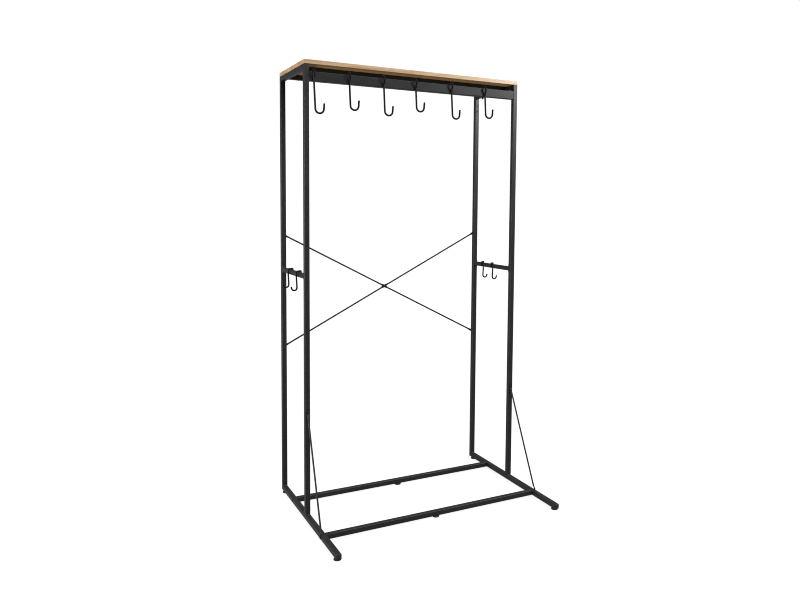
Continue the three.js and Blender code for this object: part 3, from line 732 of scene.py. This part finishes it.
o = 0.35                                          # how far a bead's middle stands out of its corner
for side, s in SIDES:
    xa, xb = s * (X_IN + 2.4), s * (X_OUT - 2.4)
    # foot of the front and rear uprights
    zf = FOOT_TOP + o
    welds(f"{side}_front_upright_foot_weld", [[V(xa, yy(-o), zf), V(xb, yy(-o), zf)], [V(xa, yy(TUBE + o), zf), V(xb, yy(TUBE + o), zf)]])
    welds(f"{side}_rear_upright_foot_weld", [[V(xa, yy(DEPTH - TUBE - o), zf), V(xb, yy(DEPTH - TUBE - o), zf)]])
    # under the side top rail
    zt = UNDER_BOARD - TUBE - o
    welds(f"{side}_top_rail_welds", [[V(xa, yy(TUBE + o), zt), V(xb, yy(TUBE + o), zt)],
                                     [V(xa, yy(DEPTH - TUBE - o), zt), V(xb, yy(DEPTH - TUBE - o), zt)]])
    # ends of the two board supports
    xi = s * (X_IN - o)
    for name, y in (("front", SUPPORT_FRONT), ("rear", SUPPORT_REAR)):
        a, b, zl = yy(y - o), yy(y + TUBE + o), UNDER_BOARD - TUBE + 2.2
        welds(f"{side}_{name}_board_support_weld", [[V(xi, a, UNDER_BOARD - 2.5), V(xi, a, zl)], [V(xi, b, zl), V(xi, b, UNDER_BOARD - 2.5)]], 1.4)
    # ends of the hook rail
    za, zb = HOOK_RAIL_TOP + o, HOOK_RAIL_TOP - HOOK_RAIL_H - o
    welds(f"{side}_hook_rail_weld", [[V(xi, yy(2.2), za), V(xi, yy(TUBE - 2), za)], [V(xi, yy(2.2), zb), V(xi, yy(TUBE - 2), zb)]], 1.6)


# ---------------------------------------------------------------- side rails: tube, two end plates, welds, screws
def plate_piece(name, x, ya, yb, z, w, h, holes):
    """A thin upright plate between ya and yb with rounded corners and a square mouth for the tube."""
    e = 0.35
    outer = lambda y, g: [V(x + u, y, z + v) for u, v in rect_profile(w + 2 * g, h + 2 * g, 2.0 + g, 5)]
    inner = lambda y: [V(x + u, y, z + v) for u, v in rect_profile(14, 14, 0.8, 5)]
    rings = [outer(ya, -e), outer(ya + e, 0), outer(yb - e, 0), outer(yb, -e), inner(yb), inner(ya)]
    ob = rings_mesh(name, rings, [M_FRAME], loop=True)
    drill(ob, holes)
    shade(ob, 38)
    return ob


def pan_screw(name, origin, axis, head_d=7.2, head_h=2.0, length=7.0, shank=3.6):
    """Self-tapping pan-head screw with a cross recess."""
    R = head_d / 2
    prof = [(-length, 0.25), (-length + 1.8, shank / 2 * 0.72)]
    prof += thread(shank / 2, 1.3, -length + 1.8, -0.5, 0.42, steps=5)
    prof += [(0.0, shank / 2), (0.0, R - 0.15), (0.18, R)]
    for k in range(1, 6):
        a = math.radians(k * 15)
        prof.append((0.3 + (head_h - 0.3) * math.sin(a), R * (0.35 + 0.65 * math.cos(a))))
    top = head_h

    def cross(w, l):
        def f(t):
            c, s_ = abs(math.cos(t)), abs(math.sin(t))
            big, small = max(c, s_), min(c, s_)
            # a plus-shaped outline: arm half width w, arm length l
            r1 = l / big
            r2 = w / small if small > 1e-6 else 1e9
            return min(r1, r2) if r2 > w / big else w * math.sqrt(2)
        return f
    prof += [(top, R * 0.56), (top, cross(0.62, 1.75)), (top - 1.2, cross(0.5, 1.25)), (top - 1.5, 0.2)]
    return revolve(name, prof, M_BOLT, sides=48, axis=axis, origin=origin, angle=32)


for side, s in SIDES:
    z, t, h = SIDE_RAIL_TOP - SIDE_TUBE / 2, 2.5, 40.0
    ya, yb = yy(TUBE + GAP), yy(DEPTH - TUBE - GAP)
    x = s * X_MID
    rail = tube(f"{side}_side_rail_bar", "y", ya + 1, yb - 1, (x, 0, z), SIDE_TUBE, SIDE_TUBE)
    parts = [rail]
    for k, (a, b) in enumerate(((ya, ya + t), (yb - t, yb))):
        holes = [("y", 4.0, 9, (x, (a + b) / 2, z + dz)) for dz in (-15, 15)]
        parts.append(plate_piece(f"{side}_side_rail_plate_{k}", x, a, b, z, SIDE_TUBE, h, holes))
        yw = b + o if k == 0 else a - o
        for zz in (z + SIDE_TUBE / 2 + o, z - SIDE_TUBE / 2 - o):
            parts.append(weld(f"{side}_side_rail_weld_{k}_{zz:.0f}", [V(x - 7.4, yw, zz), V(x + 7.4, yw, zz)], 1.2))
    ob = join(f"{side}_side_rail_bar_and_plates", parts)
    ob.data.materials.clear()
    ob.data.materials.append(M_FRAME)
    for f in ob.data.polygons:
        f.material_index = 0
    shade(ob, 38)
    give(ob, ROOT, "frame_metal", f"{side}_side_rail")
    for k, (yh, d) in enumerate(((ya + t, 1), (yb - t, -1))):
        for j, dz in enumerate((15, -15)):
            sc = pan_screw(f"{side}_side_rail_screw_{k + 1}_{j + 1}", V(x, yh + d * 0.02, z + dz), V(0, d, 0), length=6.0)
            give(sc, ROOT, "bolt_metal")


# ---------------------------------------------------------------- foot rail end caps
def foot_cap(name, x, y, k):
    """Square plug: a domed flange over the tube's end and a hollow neck in it. k is the way in."""
    neck = TUBE - 2 * WALL - 2 * GAP
    rings = []

    def ring(s, size, r):
        return [V(x + v * 1.0, y + k * s, FOOT_MID + u) for u, v in rect_profile(size, size, r, 6)]
    rings += [ring(0.0, TUBE - 8.0, 2.4), ring(0.06, TUBE - 5.0, 2.3), ring(0.3, TUBE - 2.2, 2.2), ring(0.75, TUBE - 0.8, 2.1),
              ring(1.3, TUBE - 0.15, 2.0), ring(1.9, TUBE, 1.9), ring(3.0, TUBE, 1.9), ring(3.05, neck, 1.2), ring(10.2, neck, 1.2), ring(10.8, neck - 0.6, 1.1),
              ring(10.8, neck - 3.2, 0.8), ring(3.6, neck - 3.2, 0.8)]
    ob = rings_mesh(name, rings, [M_CAP])
    shade(ob, 38)
    return ob


for side, s in SIDES:
    for end, y, k in (("front", yy(FOOT_FRONT), 1), ("rear", yy(FOOT_REAR), -1)):
        ob = foot_cap(f"{side}_foot_cap_{end}_moulding", s * X_MID, y, k)
        give(ob, ROOT, "plastic", f"{side}_foot_cap_{end}")

# ---------------------------------------------------------------- glides
GLIDES = {
    "left_front_glide": (-X_MID, FOOT_FRONT + 20), "left_rear_glide": (-X_MID, FOOT_REAR - 32),
    "right_front_glide": (X_MID, FOOT_FRONT + 20), "right_rear_glide": (X_MID, FOOT_REAR - 32),
    "front_bar_glide": (0, BAR_FRONT), "rear_bar_glide": (0, BAR_REAR),
}
for name, (x, y) in GLIDES.items():
    r = GLIDE_D / 2

    def grip(amount, radius):
        def f(t):
            return radius - amount * (0.5 - 0.5 * math.cos(24 * t)) ** 2
        return f
    prof = [(0.0, r - 4.0), (0.0, r - 1.3), (0.12, r - 0.75), (0.45, r - 0.28), (0.95, r - 0.05), (1.3, grip(0.28, r)),
            (3.6, grip(0.28, r)), (4.1, r - 0.1), (4.55, r - 0.45), (4.95, r - 1.1), (5.25, r - 2.2), (5.5, r - 4.2),
            (5.6, 8.2), (5.75, hexagon(12.2)), (6.45, hexagon(12.2)), (6.55, hexagon(11.6)), (6.58, 3.95)]
    prof += thread(4.0, 1.25, 6.9, 20.2, 0.55, steps=6)
    prof += [(21.0, 3.2)]
    ob = revolve(f"{name}_moulding", prof, M_GLIDE, sides=96, origin=V(x, yy(y), 0), angle=40)
    give(ob, f"{name}_body", "glide_plastic", name)


# ---------------------------------------------------------------- bike hooks
def bike_hook(i, x, lean, zlow):
    zt = zlow + HOOK_J
    edge = HOOK_RAIL_TOP - HOOK_RAIL_H
    at = lambda z: x + lean * (edge - min(z, BEND_Z))
    rear = CROOK_Y + CROOK_A
    step = lambda t: t * t * (3 - 2 * t)
    # the rear leg stands a little to the right of the stem
    aside = lambda y: CROOK_SKEW * step(min(1, max(0, (y - FRONT_Y) / (rear - FRONT_Y))))
    yz = [(rear, LEG_END[i - 1] + (CROOK_Z - LEG_END[i - 1]) * k / 8) for k in range(8)]
    for k in range(0, 41):
        a = math.pi * k / 40
        yz.append((CROOK_Y + CROOK_A * math.cos(a), CROOK_Z + CROOK_B * math.sin(a)))
    bulge = CROOK_Y - CROOK_A
    for k in range(1, 19):                        # back in to the rail's face
        t = k / 18
        yz.append((bulge + (FRONT_Y - bulge) * step(t), CROOK_Z + (BEND_Z - CROOK_Z) * t))
    pts = [V(at(z) + (aside(y) if z > BEND_Z or y > 12 else 0), yy(y), z) for y, z in yz]
    n = 18
    for k in range(1, n + 1):
        z = BEND_Z + (zt - BEND_Z) * k / n
        pts.append(V(at(z), yy(FRONT_Y), z))
    xs = at(zt)
    front = FRONT_Y
    for k in range(1, 29):
        a = math.radians(176 * k / 28)
        pts.append(V(xs + HOOK_J - HOOK_J * math.cos(a), yy(front), zt - HOOK_J * math.sin(a)))
    tip = [pts[-1], V(xs + 2 * HOOK_J + TIP[0], yy(front), zt + TIP[1])]
    pts += resample(tip, 2.2)[1:]
    pts = smooth_path(pts, 4)

    def wear(p):
        # the crook's underside, where it sits on the rail, and the bowl of the J
        a = max(0.0, 1 - abs(p.z - (HOOK_RAIL_TOP + 1.0)) / 9) * (1 if p.y > yy(-2) and p.y < yy(28) else 0)
        c = V(xs + HOOK_J, yy(front), zt)
        d = math.hypot(p.x - c.x, p.z - c.z)
        b = max(0.0, min(1.0, (HOOK_J - 0.6 - d) / 2.2)) * max(0.0, min(1.0, (c.z - 4 - p.z) / 6))
        return max(a * 0.25, b)
    ob = rod(f"bike_hook_{i}_bent_rod", pts, HOOK_ROD, 24, M_HOOK, wear)
    return give(ob, f"bike_hook_{i}_body", "hook_metal", f"bike_hook_{i}")


for i, (x, lean, z) in enumerate(BIKE_HOOKS):
    bike_hook(i + 1, x, lean, z)


# ---------------------------------------------------------------- accessory hooks
def accessory_hook(i, s, y):
    top, r, lean = SIDE_RAIL_TOP, SMALL_ROD / 2, 0.05
    X = lambda z: X_OUT + 4.0 + lean * (z - (top - SIDE_TUBE))
    bar = top + r + 0.6
    P = lambda px, py, pz: V(s * px, yy(y - s * py), pz)
    b = r + 1.0
    outer, inner = X(bar), X_MID - SIDE_TUBE / 2 - r - 0.5
    run, skew = outer - inner, 27.0
    L = math.hypot(run, skew)
    ux, uy = run / L, skew / L
    along = lambda t, z: P(outer - ux * t, uy * t, z)
    pts = resample([along(L, bar - 18), along(L, bar - b)], 2.0)
    for a in (15, 30, 45, 60, 75, 90):
        t = math.radians(a)
        pts.append(along(L - b * (1 - math.cos(t)), bar - b + b * math.sin(t)))
    pts += resample([pts[-1], along(b, bar)], 2.0)[1:]
    for a in (75, 60, 45, 30, 15, 0):
        t = math.radians(a)
        pts.append(along(b * (1 - math.cos(t)), bar - b + b * math.sin(t)))
    zt = 1009 + SMALL_J
    pts += resample([pts[-1], P(X(top - SIDE_TUBE - 4), 0, top - SIDE_TUBE - 4), P(X(zt), 0, zt)], 3.0)[1:]
    for k in range(1, 23):
        t = math.radians(172 * k / 22)
        pts.append(P(X(zt) + SMALL_J * (1 - math.cos(t)), 0, zt - SMALL_J * math.sin(t)))
    pts += resample([pts[-1], P(X(zt) + 2 * SMALL_J + 1.2, 0, zt + 3.0)], 1.5)[1:]
    pts = smooth_path(pts, 2)
    c = P(X(zt) + SMALL_J, 0, zt)

    def wear(p):
        d = math.hypot(p.x - c.x, p.z - c.z)
        a = max(0.0, min(1.0, (SMALL_J - 1.4 - d) / 1.8)) * max(0.0, min(1.0, (c.z - 2 - p.z) / 5))
        return max(a * 0.8, 0.6 * max(0.0, 1 - abs(p.z - (bar - r + 0.35)) / 1.5) if abs(abs(p.x) - X_MID) < 9 else 0.0)
    ob = rod(f"accessory_hook_{i}_bent_rod", pts, SMALL_ROD, 20, M_HOOK, wear)
    return give(ob, f"accessory_hook_{i}_body", "hook_metal", f"accessory_hook_{i}")


for i, (s, y) in enumerate(SMALL_HOOKS):
    accessory_hook(i + 1, s, y)


# ---------------------------------------------------------------- flattened rods
def super_ring(p, u, v, a, b, k, sides):
    out = []
    for i in range(sides):
        t = 2 * math.pi * i / sides
        c, s_ = math.cos(t), math.sin(t)
        out.append(p + u * (a * math.copysign(abs(c) ** (2 / k), c)) + v * (b * math.copysign(abs(s_) ** (2 / k), s_)))
    return out


def dense(stations, step, passes):
    """Subdivides stations (p, u, v, a, b, k) and eases every value."""
    st = [stations[0]]
    for A, B in zip(stations, stations[1:]):
        L = (B[0] - A[0]).length
        n = max(2, min(24, round(L / step)))
        if L > 120:
            # a long straight run needs stations only near its ends
            ts = [2 / L, 6 / L, 12 / L, 20 / L, 0.5, 1 - 20 / L, 1 - 12 / L, 1 - 6 / L, 1 - 2 / L, 1]
        else:
            ts = [i / n for i in range(1, n + 1)]
        for t in ts:
            st.append(tuple(A[q].lerp(B[q], t) for q in range(3)) + tuple(A[q] + (B[q] - A[q]) * t for q in range(3, 6)))
    for _ in range(passes):
        new = list(st)
        for i in range(1, len(st) - 1):
            P_, Q, R_ = st[i - 1], st[i], st[i + 1]
            if (R_[0] - Q[0]).length > 30 or (Q[0] - P_[0]).length > 30:
                continue
            new[i] = tuple(Q[q] * 0.5 + (P_[q] + R_[q]) * 0.25 for q in range(6))
        st = new
    return [(p, u.normalized(), v.normalized(), a, b, k) for p, u, v, a, b, k in st]


def flat_rod(name, stations, holes, passes=4, step=1.4, sides=28):
    st = dense(stations, step, passes)
    ob = rings_mesh(name, [super_ring(*q, sides) for q in st], [M_ROD])
    drill(ob, holes)
    shade(ob, 42)
    return ob


run, rise = 2 * X_MID, BRACE_TOP - BRACE_LOW
LX = math.hypot(run, rise)
mid = V(0, BRACE_Y, (BRACE_TOP + BRACE_LOW) / 2)
for n, d in ((1, -1), (2, 1)):
    t = V(run / LX, 0, d * rise / LX)
    u = V(-d * rise / LX, 0, run / LX)
    v = V(0, 1, 0)
    off = -1 if n == 1 else 1
    r = ROD / 2
    half = [(0, 6.2, 1.5, off * 1.7, 4), (9, 6.2, 1.5, off * 1.7, 4), (13, 5.0, 1.9, off * 1.5, 3),
            (18, 4.2, 3.0, off * 0.7, 2.3), (25, r, r, 0, 2), (LX / 2 - 31, r, r, 0, 2),
            (LX / 2 - 23, 4.5, 2.8, 0, 2.3), (LX / 2 - 16, 5.3, 1.5, 0, 3), (LX / 2 - 10, 5.8, 1.2, 0, 4),
            (LX / 2 + 4, 5.8, 1.2, 0, 4), (LX / 2 + 7, 4.6, 1.2, 0, 4), (LX / 2 + 8.6, 2.6, 1.1, 0, 4)]
    st = [(mid + t * -q[0] + v * q[3], u, v, q[1], q[2], q[4]) for q in reversed(half)]
    st += [(mid + t * q[0] + v * q[3], u, v, q[1], q[2], q[4]) for q in half[1:]]
    ends = [mid, mid + t * (LX / 2), mid - t * (LX / 2)]
    ob = flat_rod(f"cross_brace_rod_{n}_forged", st, [("y", 5.8, 20, p) for p in ends], passes=3)
    give(ob, ROOT, "frame_metal", f"cross_brace_rod_{n}")

for side, s in SIDES:
    r, t = ROD / 2, 1.2
    top_y = yy(-GAP - t)
    low = V(s * (X_OUT + GAP + t), yy(BAR_FRONT), FOOT_MID)
    A = V(s * X_MID, top_y - 3.2, FOOT_BRACE_Z - 20)
    B = V(s * 532.2, yy(BAR_FRONT + 8), FOOT_TOP + 21)
    d = (B - A).normalized()
    ux, uy = V(1, 0, 0), V(0, 1, 0)
    across = lambda w: (w - d * w.dot(d)).normalized()
    st = [(V(s * X_MID, top_y, FOOT_BRACE_Z + 9), ux, uy, 2.6, 1.1, 4),
          (V(s * X_MID, top_y, FOOT_BRACE_Z + 7.4), ux, uy, 4.6, t, 4),
          (V(s * X_MID, top_y, FOOT_BRACE_Z + 4.5), ux, uy, 5.8, t, 4),
          (V(s * X_MID, top_y, FOOT_BRACE_Z - 7), ux, uy, 5.8, t, 4),
          (V(s * X_MID, top_y - 0.6, FOOT_BRACE_Z - 12), ux, uy, 5.0, 1.7, 3),
          (A, across(ux), across(uy), r, r, 2),
          (B, across(ux), across(uy), r, r, 2),
          (V(s * 533.4, yy(BAR_FRONT + 3.6), FOOT_TOP + 11), ux, uy, 2.4, 4.3, 2.4),
          (V(s * 535.2, yy(BAR_FRONT + 1.2), FOOT_TOP + 5), ux, uy, 1.6, 5.4, 3.4),
          (V(low.x, low.y, FOOT_TOP - 1), ux, uy, t, 5.8, 4),
          (V(low.x, low.y, FOOT_MID - 3), ux, uy, t, 5.8, 4),
          (V(low.x, low.y, FOOT_MID - 6.5), ux, uy, t, 4.6, 4),
          (V(low.x, low.y, FOOT_MID - 8.2), ux, uy, 1.1, 2.6, 4)]
    ob = flat_rod(f"{side}_foot_brace_forged", st, [("y", 5.8, 10, (s * X_MID, top_y, FOOT_BRACE_Z)), ("x", 5.8, 10, low)], passes=3)
    give(ob, ROOT, "frame_metal", f"{side}_foot_brace")


# ---------------------------------------------------------------- bolts and nut
def button_bolt(name, origin, axis, length, head_d=9.0, head_h=2.6, shank=5.0, node=None):
    """Button head with a thin flange and a hexagon socket; the shank is threaded on bolts shorter than 15 mm."""
    R = head_d / 2
    prof = [(-length, shank / 2 - 0.7)]
    prof += thread(shank / 2, 0.8, -length + 0.4, -1.2, 0.32, steps=5) if length < 15 else \
        [(-length + 0.5, shank / 2), (-1.2, shank / 2)]
    prof += [(0.0, shank / 2), (0.0, R - 0.12), (0.12, R), (0.45, R), (0.6, R - 0.15), (0.62, R * 0.92)]
    for k in range(1, 7):
        a = math.radians(k * 13)
        prof.append((0.62 + (head_h - 0.62) * math.sin(a) / math.sin(math.radians(78)), R * (0.47 + 0.45 * math.cos(a)) ))
    prof += [(head_h, R * 0.53), (head_h - 0.15, hexagon(head_d * 0.36)), (head_h - 1.5, hexagon(head_d * 0.36)), (head_h - 1.75, 0.25)]
    ob = revolve(name, prof, M_BOLT, sides=48, axis=axis, origin=origin, angle=32)
    return give(ob, ROOT, "bolt_metal", node) if node else ob


for side, s in SIDES:
    for lab, z in (("upper", BRACE_TOP), ("lower", BRACE_LOW)):
        node = f"{side}_cross_brace_bolt_{lab}"
        button_bolt(node + "_turned", V(s * X_MID, BRACE_Y + 1.2 + GAP, z), V(0, 1, 0), 13, node=node)
    for i, z in enumerate(JOINT_BOLT_Z):
        node = f"{side}_joint_bolt_{i + 1}"
        button_bolt(node + "_turned", V(s * X_MID, yy(DEPTH - TUBE - GAP), z), V(0, -1, 0), 8, 8, 2.2, node=node)
    node = f"{side}_foot_brace_bolt_upper"
    button_bolt(node + "_turned", V(s * X_MID, yy(-GAP - 2.4 - GAP), FOOT_BRACE_Z), V(0, -1, 0), 12, node=node)
    node = f"{side}_foot_brace_bolt_lower"
    button_bolt(node + "_turned", V(s * (X_OUT + 2.4 + 2 * GAP), yy(BAR_FRONT), FOOT_MID), V(s, 0, 0), 34, node=node)
    node = f"{side}_rear_bar_bolt"
    button_bolt(node + "_turned", V(s * (X_OUT + GAP), yy(BAR_REAR), FOOT_MID), V(s, 0, 0), 31, node=node)
button_bolt("cross_brace_centre_bolt_turned", V(0, BRACE_Y - 3.2 - GAP, mid.z), V(0, -1, 0), 9.2, 11, 2.8, node="cross_brace_centre_bolt")


def hex_nut(name, origin, axis, across, height, bore):
    hx = hexagon(across)
    lim = lambda top: (lambda t: min(hx(t), top))
    prof = [(0.0, across / 2 - 0.1), (0.35, lim(across / 2 + 0.45)), (0.8, hx), (height - 0.8, hx), (height - 0.35, lim(across / 2 + 0.45)),
            (height, across / 2 - 0.1), (height, bore + 0.45), (height - 0.45, bore)]
    inner = thread(bore + 0.02, 0.8, height - 0.5, 0.5, 0.0, steps=2)
    prof += inner + [(0.3, bore), (0.0, bore + 0.35)]
    q = V(0, 0, 1).rotation_difference(axis)
    rings = []
    for h, r in prof:
        rings.append([origin + q @ V((r(2 * math.pi * i / 48) if callable(r) else r) * math.cos(2 * math.pi * i / 48),
                                     (r(2 * math.pi * i / 48) if callable(r) else r) * math.sin(2 * math.pi * i / 48), h) for i in range(48)])
    ob = rings_mesh(name, rings, [M_BOLT], loop=True)
    shade(ob, 32)
    return ob


ob = hex_nut("cross_brace_centre_nut_turned", V(0, BRACE_Y + 3.2 + GAP, mid.z), V(0, 1, 0), 10.0, 4.4, 2.75)
give(ob, ROOT, "bolt_metal", "cross_brace_centre_nut")

# ---------------------------------------------------------------- screws that hold the board, from under its supports
for name, y in (("front", SUPPORT_FRONT), ("rear", SUPPORT_REAR)):
    for k, x in enumerate((-470, -160, 160, 470)):
        sc = pan_screw(f"{name}_board_screw_{k + 1}", V(x, yy(y + TUBE / 2), UNDER_BOARD - TUBE - 0.02), V(0, 0, -1), length=2.2)
        give(sc, ROOT, "bolt_metal")

# ---------------------------------------------------------------- carried-over CAD nodes
for side, s in SIDES:
    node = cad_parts[f"{side}_joint_sleeve"]
    node.data.materials.clear()
    node.data.materials.append(M_BOLT)

# ---------------------------------------------------------------- floor and backdrop
M_FLOOR = paper_floor("studio_paper")
prof = [(-9.0, 0.0), (-3.0, 0.0), (0.0, 0.0), (2.0, 0.0), (4.2, 0.0)]
R = 1.8
for k in range(1, 17):
    a = math.radians(90 * k / 16)
    prof.append((4.2 + R * math.sin(a), R - R * math.cos(a)))
prof += [(4.2 + R, 4.0), (4.2 + R, 9.0)]
xs_ = [-12 + 24 * i / 8 for i in range(9)]
verts = [(x * 1000, y * 1000, z * 1000) for y, z in prof for x in xs_]
faces = []
for k in range(len(prof) - 1):
    for i in range(8):
        a = k * 9 + i
        faces.append((a, a + 1, a + 10, a + 9))
floor = link("studio_sweep", verts, faces, [M_FLOOR])
floor.data.shade_smooth()
floor.visible_glossy = False
floor.visible_diffuse = False

# ---------------------------------------------------------------- camera: the photograph's viewpoint
F_PX, U0, V0 = 720.849, 450.0, 255.16
yaw, pitch, roll = math.radians(28.214), math.radians(4.039), math.radians(0.612)
fwd = V(math.sin(yaw) * math.cos(pitch), math.cos(yaw) * math.cos(pitch), -math.sin(pitch))
right = V(math.cos(yaw), -math.sin(yaw), 0)
up = right.cross(fwd)
r2 = right * math.cos(roll) + up * math.sin(roll)
u2 = up * math.cos(roll) - right * math.sin(roll)
cam_data = bpy.data.cameras.new("camera")
cam = bpy.data.objects.new("camera", cam_data)
scene.collection.objects.link(cam)
m = Matrix((r2, u2, -fwd)).transposed().to_4x4()
m.translation = V(-1441.1, -3002.9 + Y0, 1396.9) * MM
cam.matrix_world = m
cam_data.sensor_width = 36.0
cam_data.lens = F_PX / 800 * 36.0
cam_data.shift_x = -(U0 - 400) / 800
cam_data.shift_y = -(300 - V0) / 800
cam_data.clip_start, cam_data.clip_end = 0.05, 60
scene.camera = cam


# ---------------------------------------------------------------- studio light
def softbox(name, at, to, size, power, colour=(1, 1, 1)):
    d = bpy.data.lights.new(name, "AREA")
    d.shape = "RECTANGLE"
    d.size, d.size_y = size
    d.energy = power
    d.color = colour
    ob = bpy.data.objects.new(name, d)
    scene.collection.objects.link(ob)
    ob.location = at
    ob.rotation_mode = "QUATERNION"
    ob.rotation_quaternion = (Vector(to) - Vector(at)).to_track_quat("-Z", "Y")
    return ob


def sun(name, frm, power, angle):
    d = bpy.data.lights.new(name, "SUN")
    d.energy = power
    d.angle = math.radians(angle)
    ob = bpy.data.objects.new(name, d)
    scene.collection.objects.link(ob)
    ob.rotation_mode = "QUATERNION"
    ob.rotation_quaternion = (-Vector(frm)).to_track_quat("-Z", "Y")
    return ob


softbox("key", (2.05, -1.60, 2.70), (0.35, 0.0, 1.75), (0.5, 0.75), 43, (1.0, 0.985, 0.96))
softbox("left", (-4.2, 0.1, 1.3), (0.0, 0.1, 1.3), (1.2, 2.6), 150)
sun("overhead", (0.25, -0.80, 1.0), 2.1, 60)
world = bpy.data.worlds.new("studio")
world.use_nodes = True
bg = world.node_tree.nodes["Background"]
bg.inputs["Color"].default_value = (0.93, 0.95, 0.98, 1)
wt = world.node_tree
w_dir = wt.nodes.new("ShaderNodeTexCoord")
w_sep = wt.nodes.new("ShaderNodeSeparateXYZ")
w_map = wt.nodes.new("ShaderNodeMapRange")
for k, v in (("From Min", -0.15), ("From Max", 0.25), ("To Min", 0.30), ("To Max", 0.17)):
    w_map.inputs[k].default_value = v
wt.links.new(w_dir.outputs["Generated"], w_sep.inputs[0])
wt.links.new(w_sep.outputs[2], w_map.inputs["Value"])
wt.links.new(w_map.outputs["Result"], bg.inputs["Strength"])
scene.world = world
scene.view_settings.view_transform = "Standard"
scene.view_settings.look = "None"
scene.cycles.pixel_filter_type = "BLACKMAN_HARRIS"
scene.cycles.filter_width = 1.05                 # as crisp as the photograph
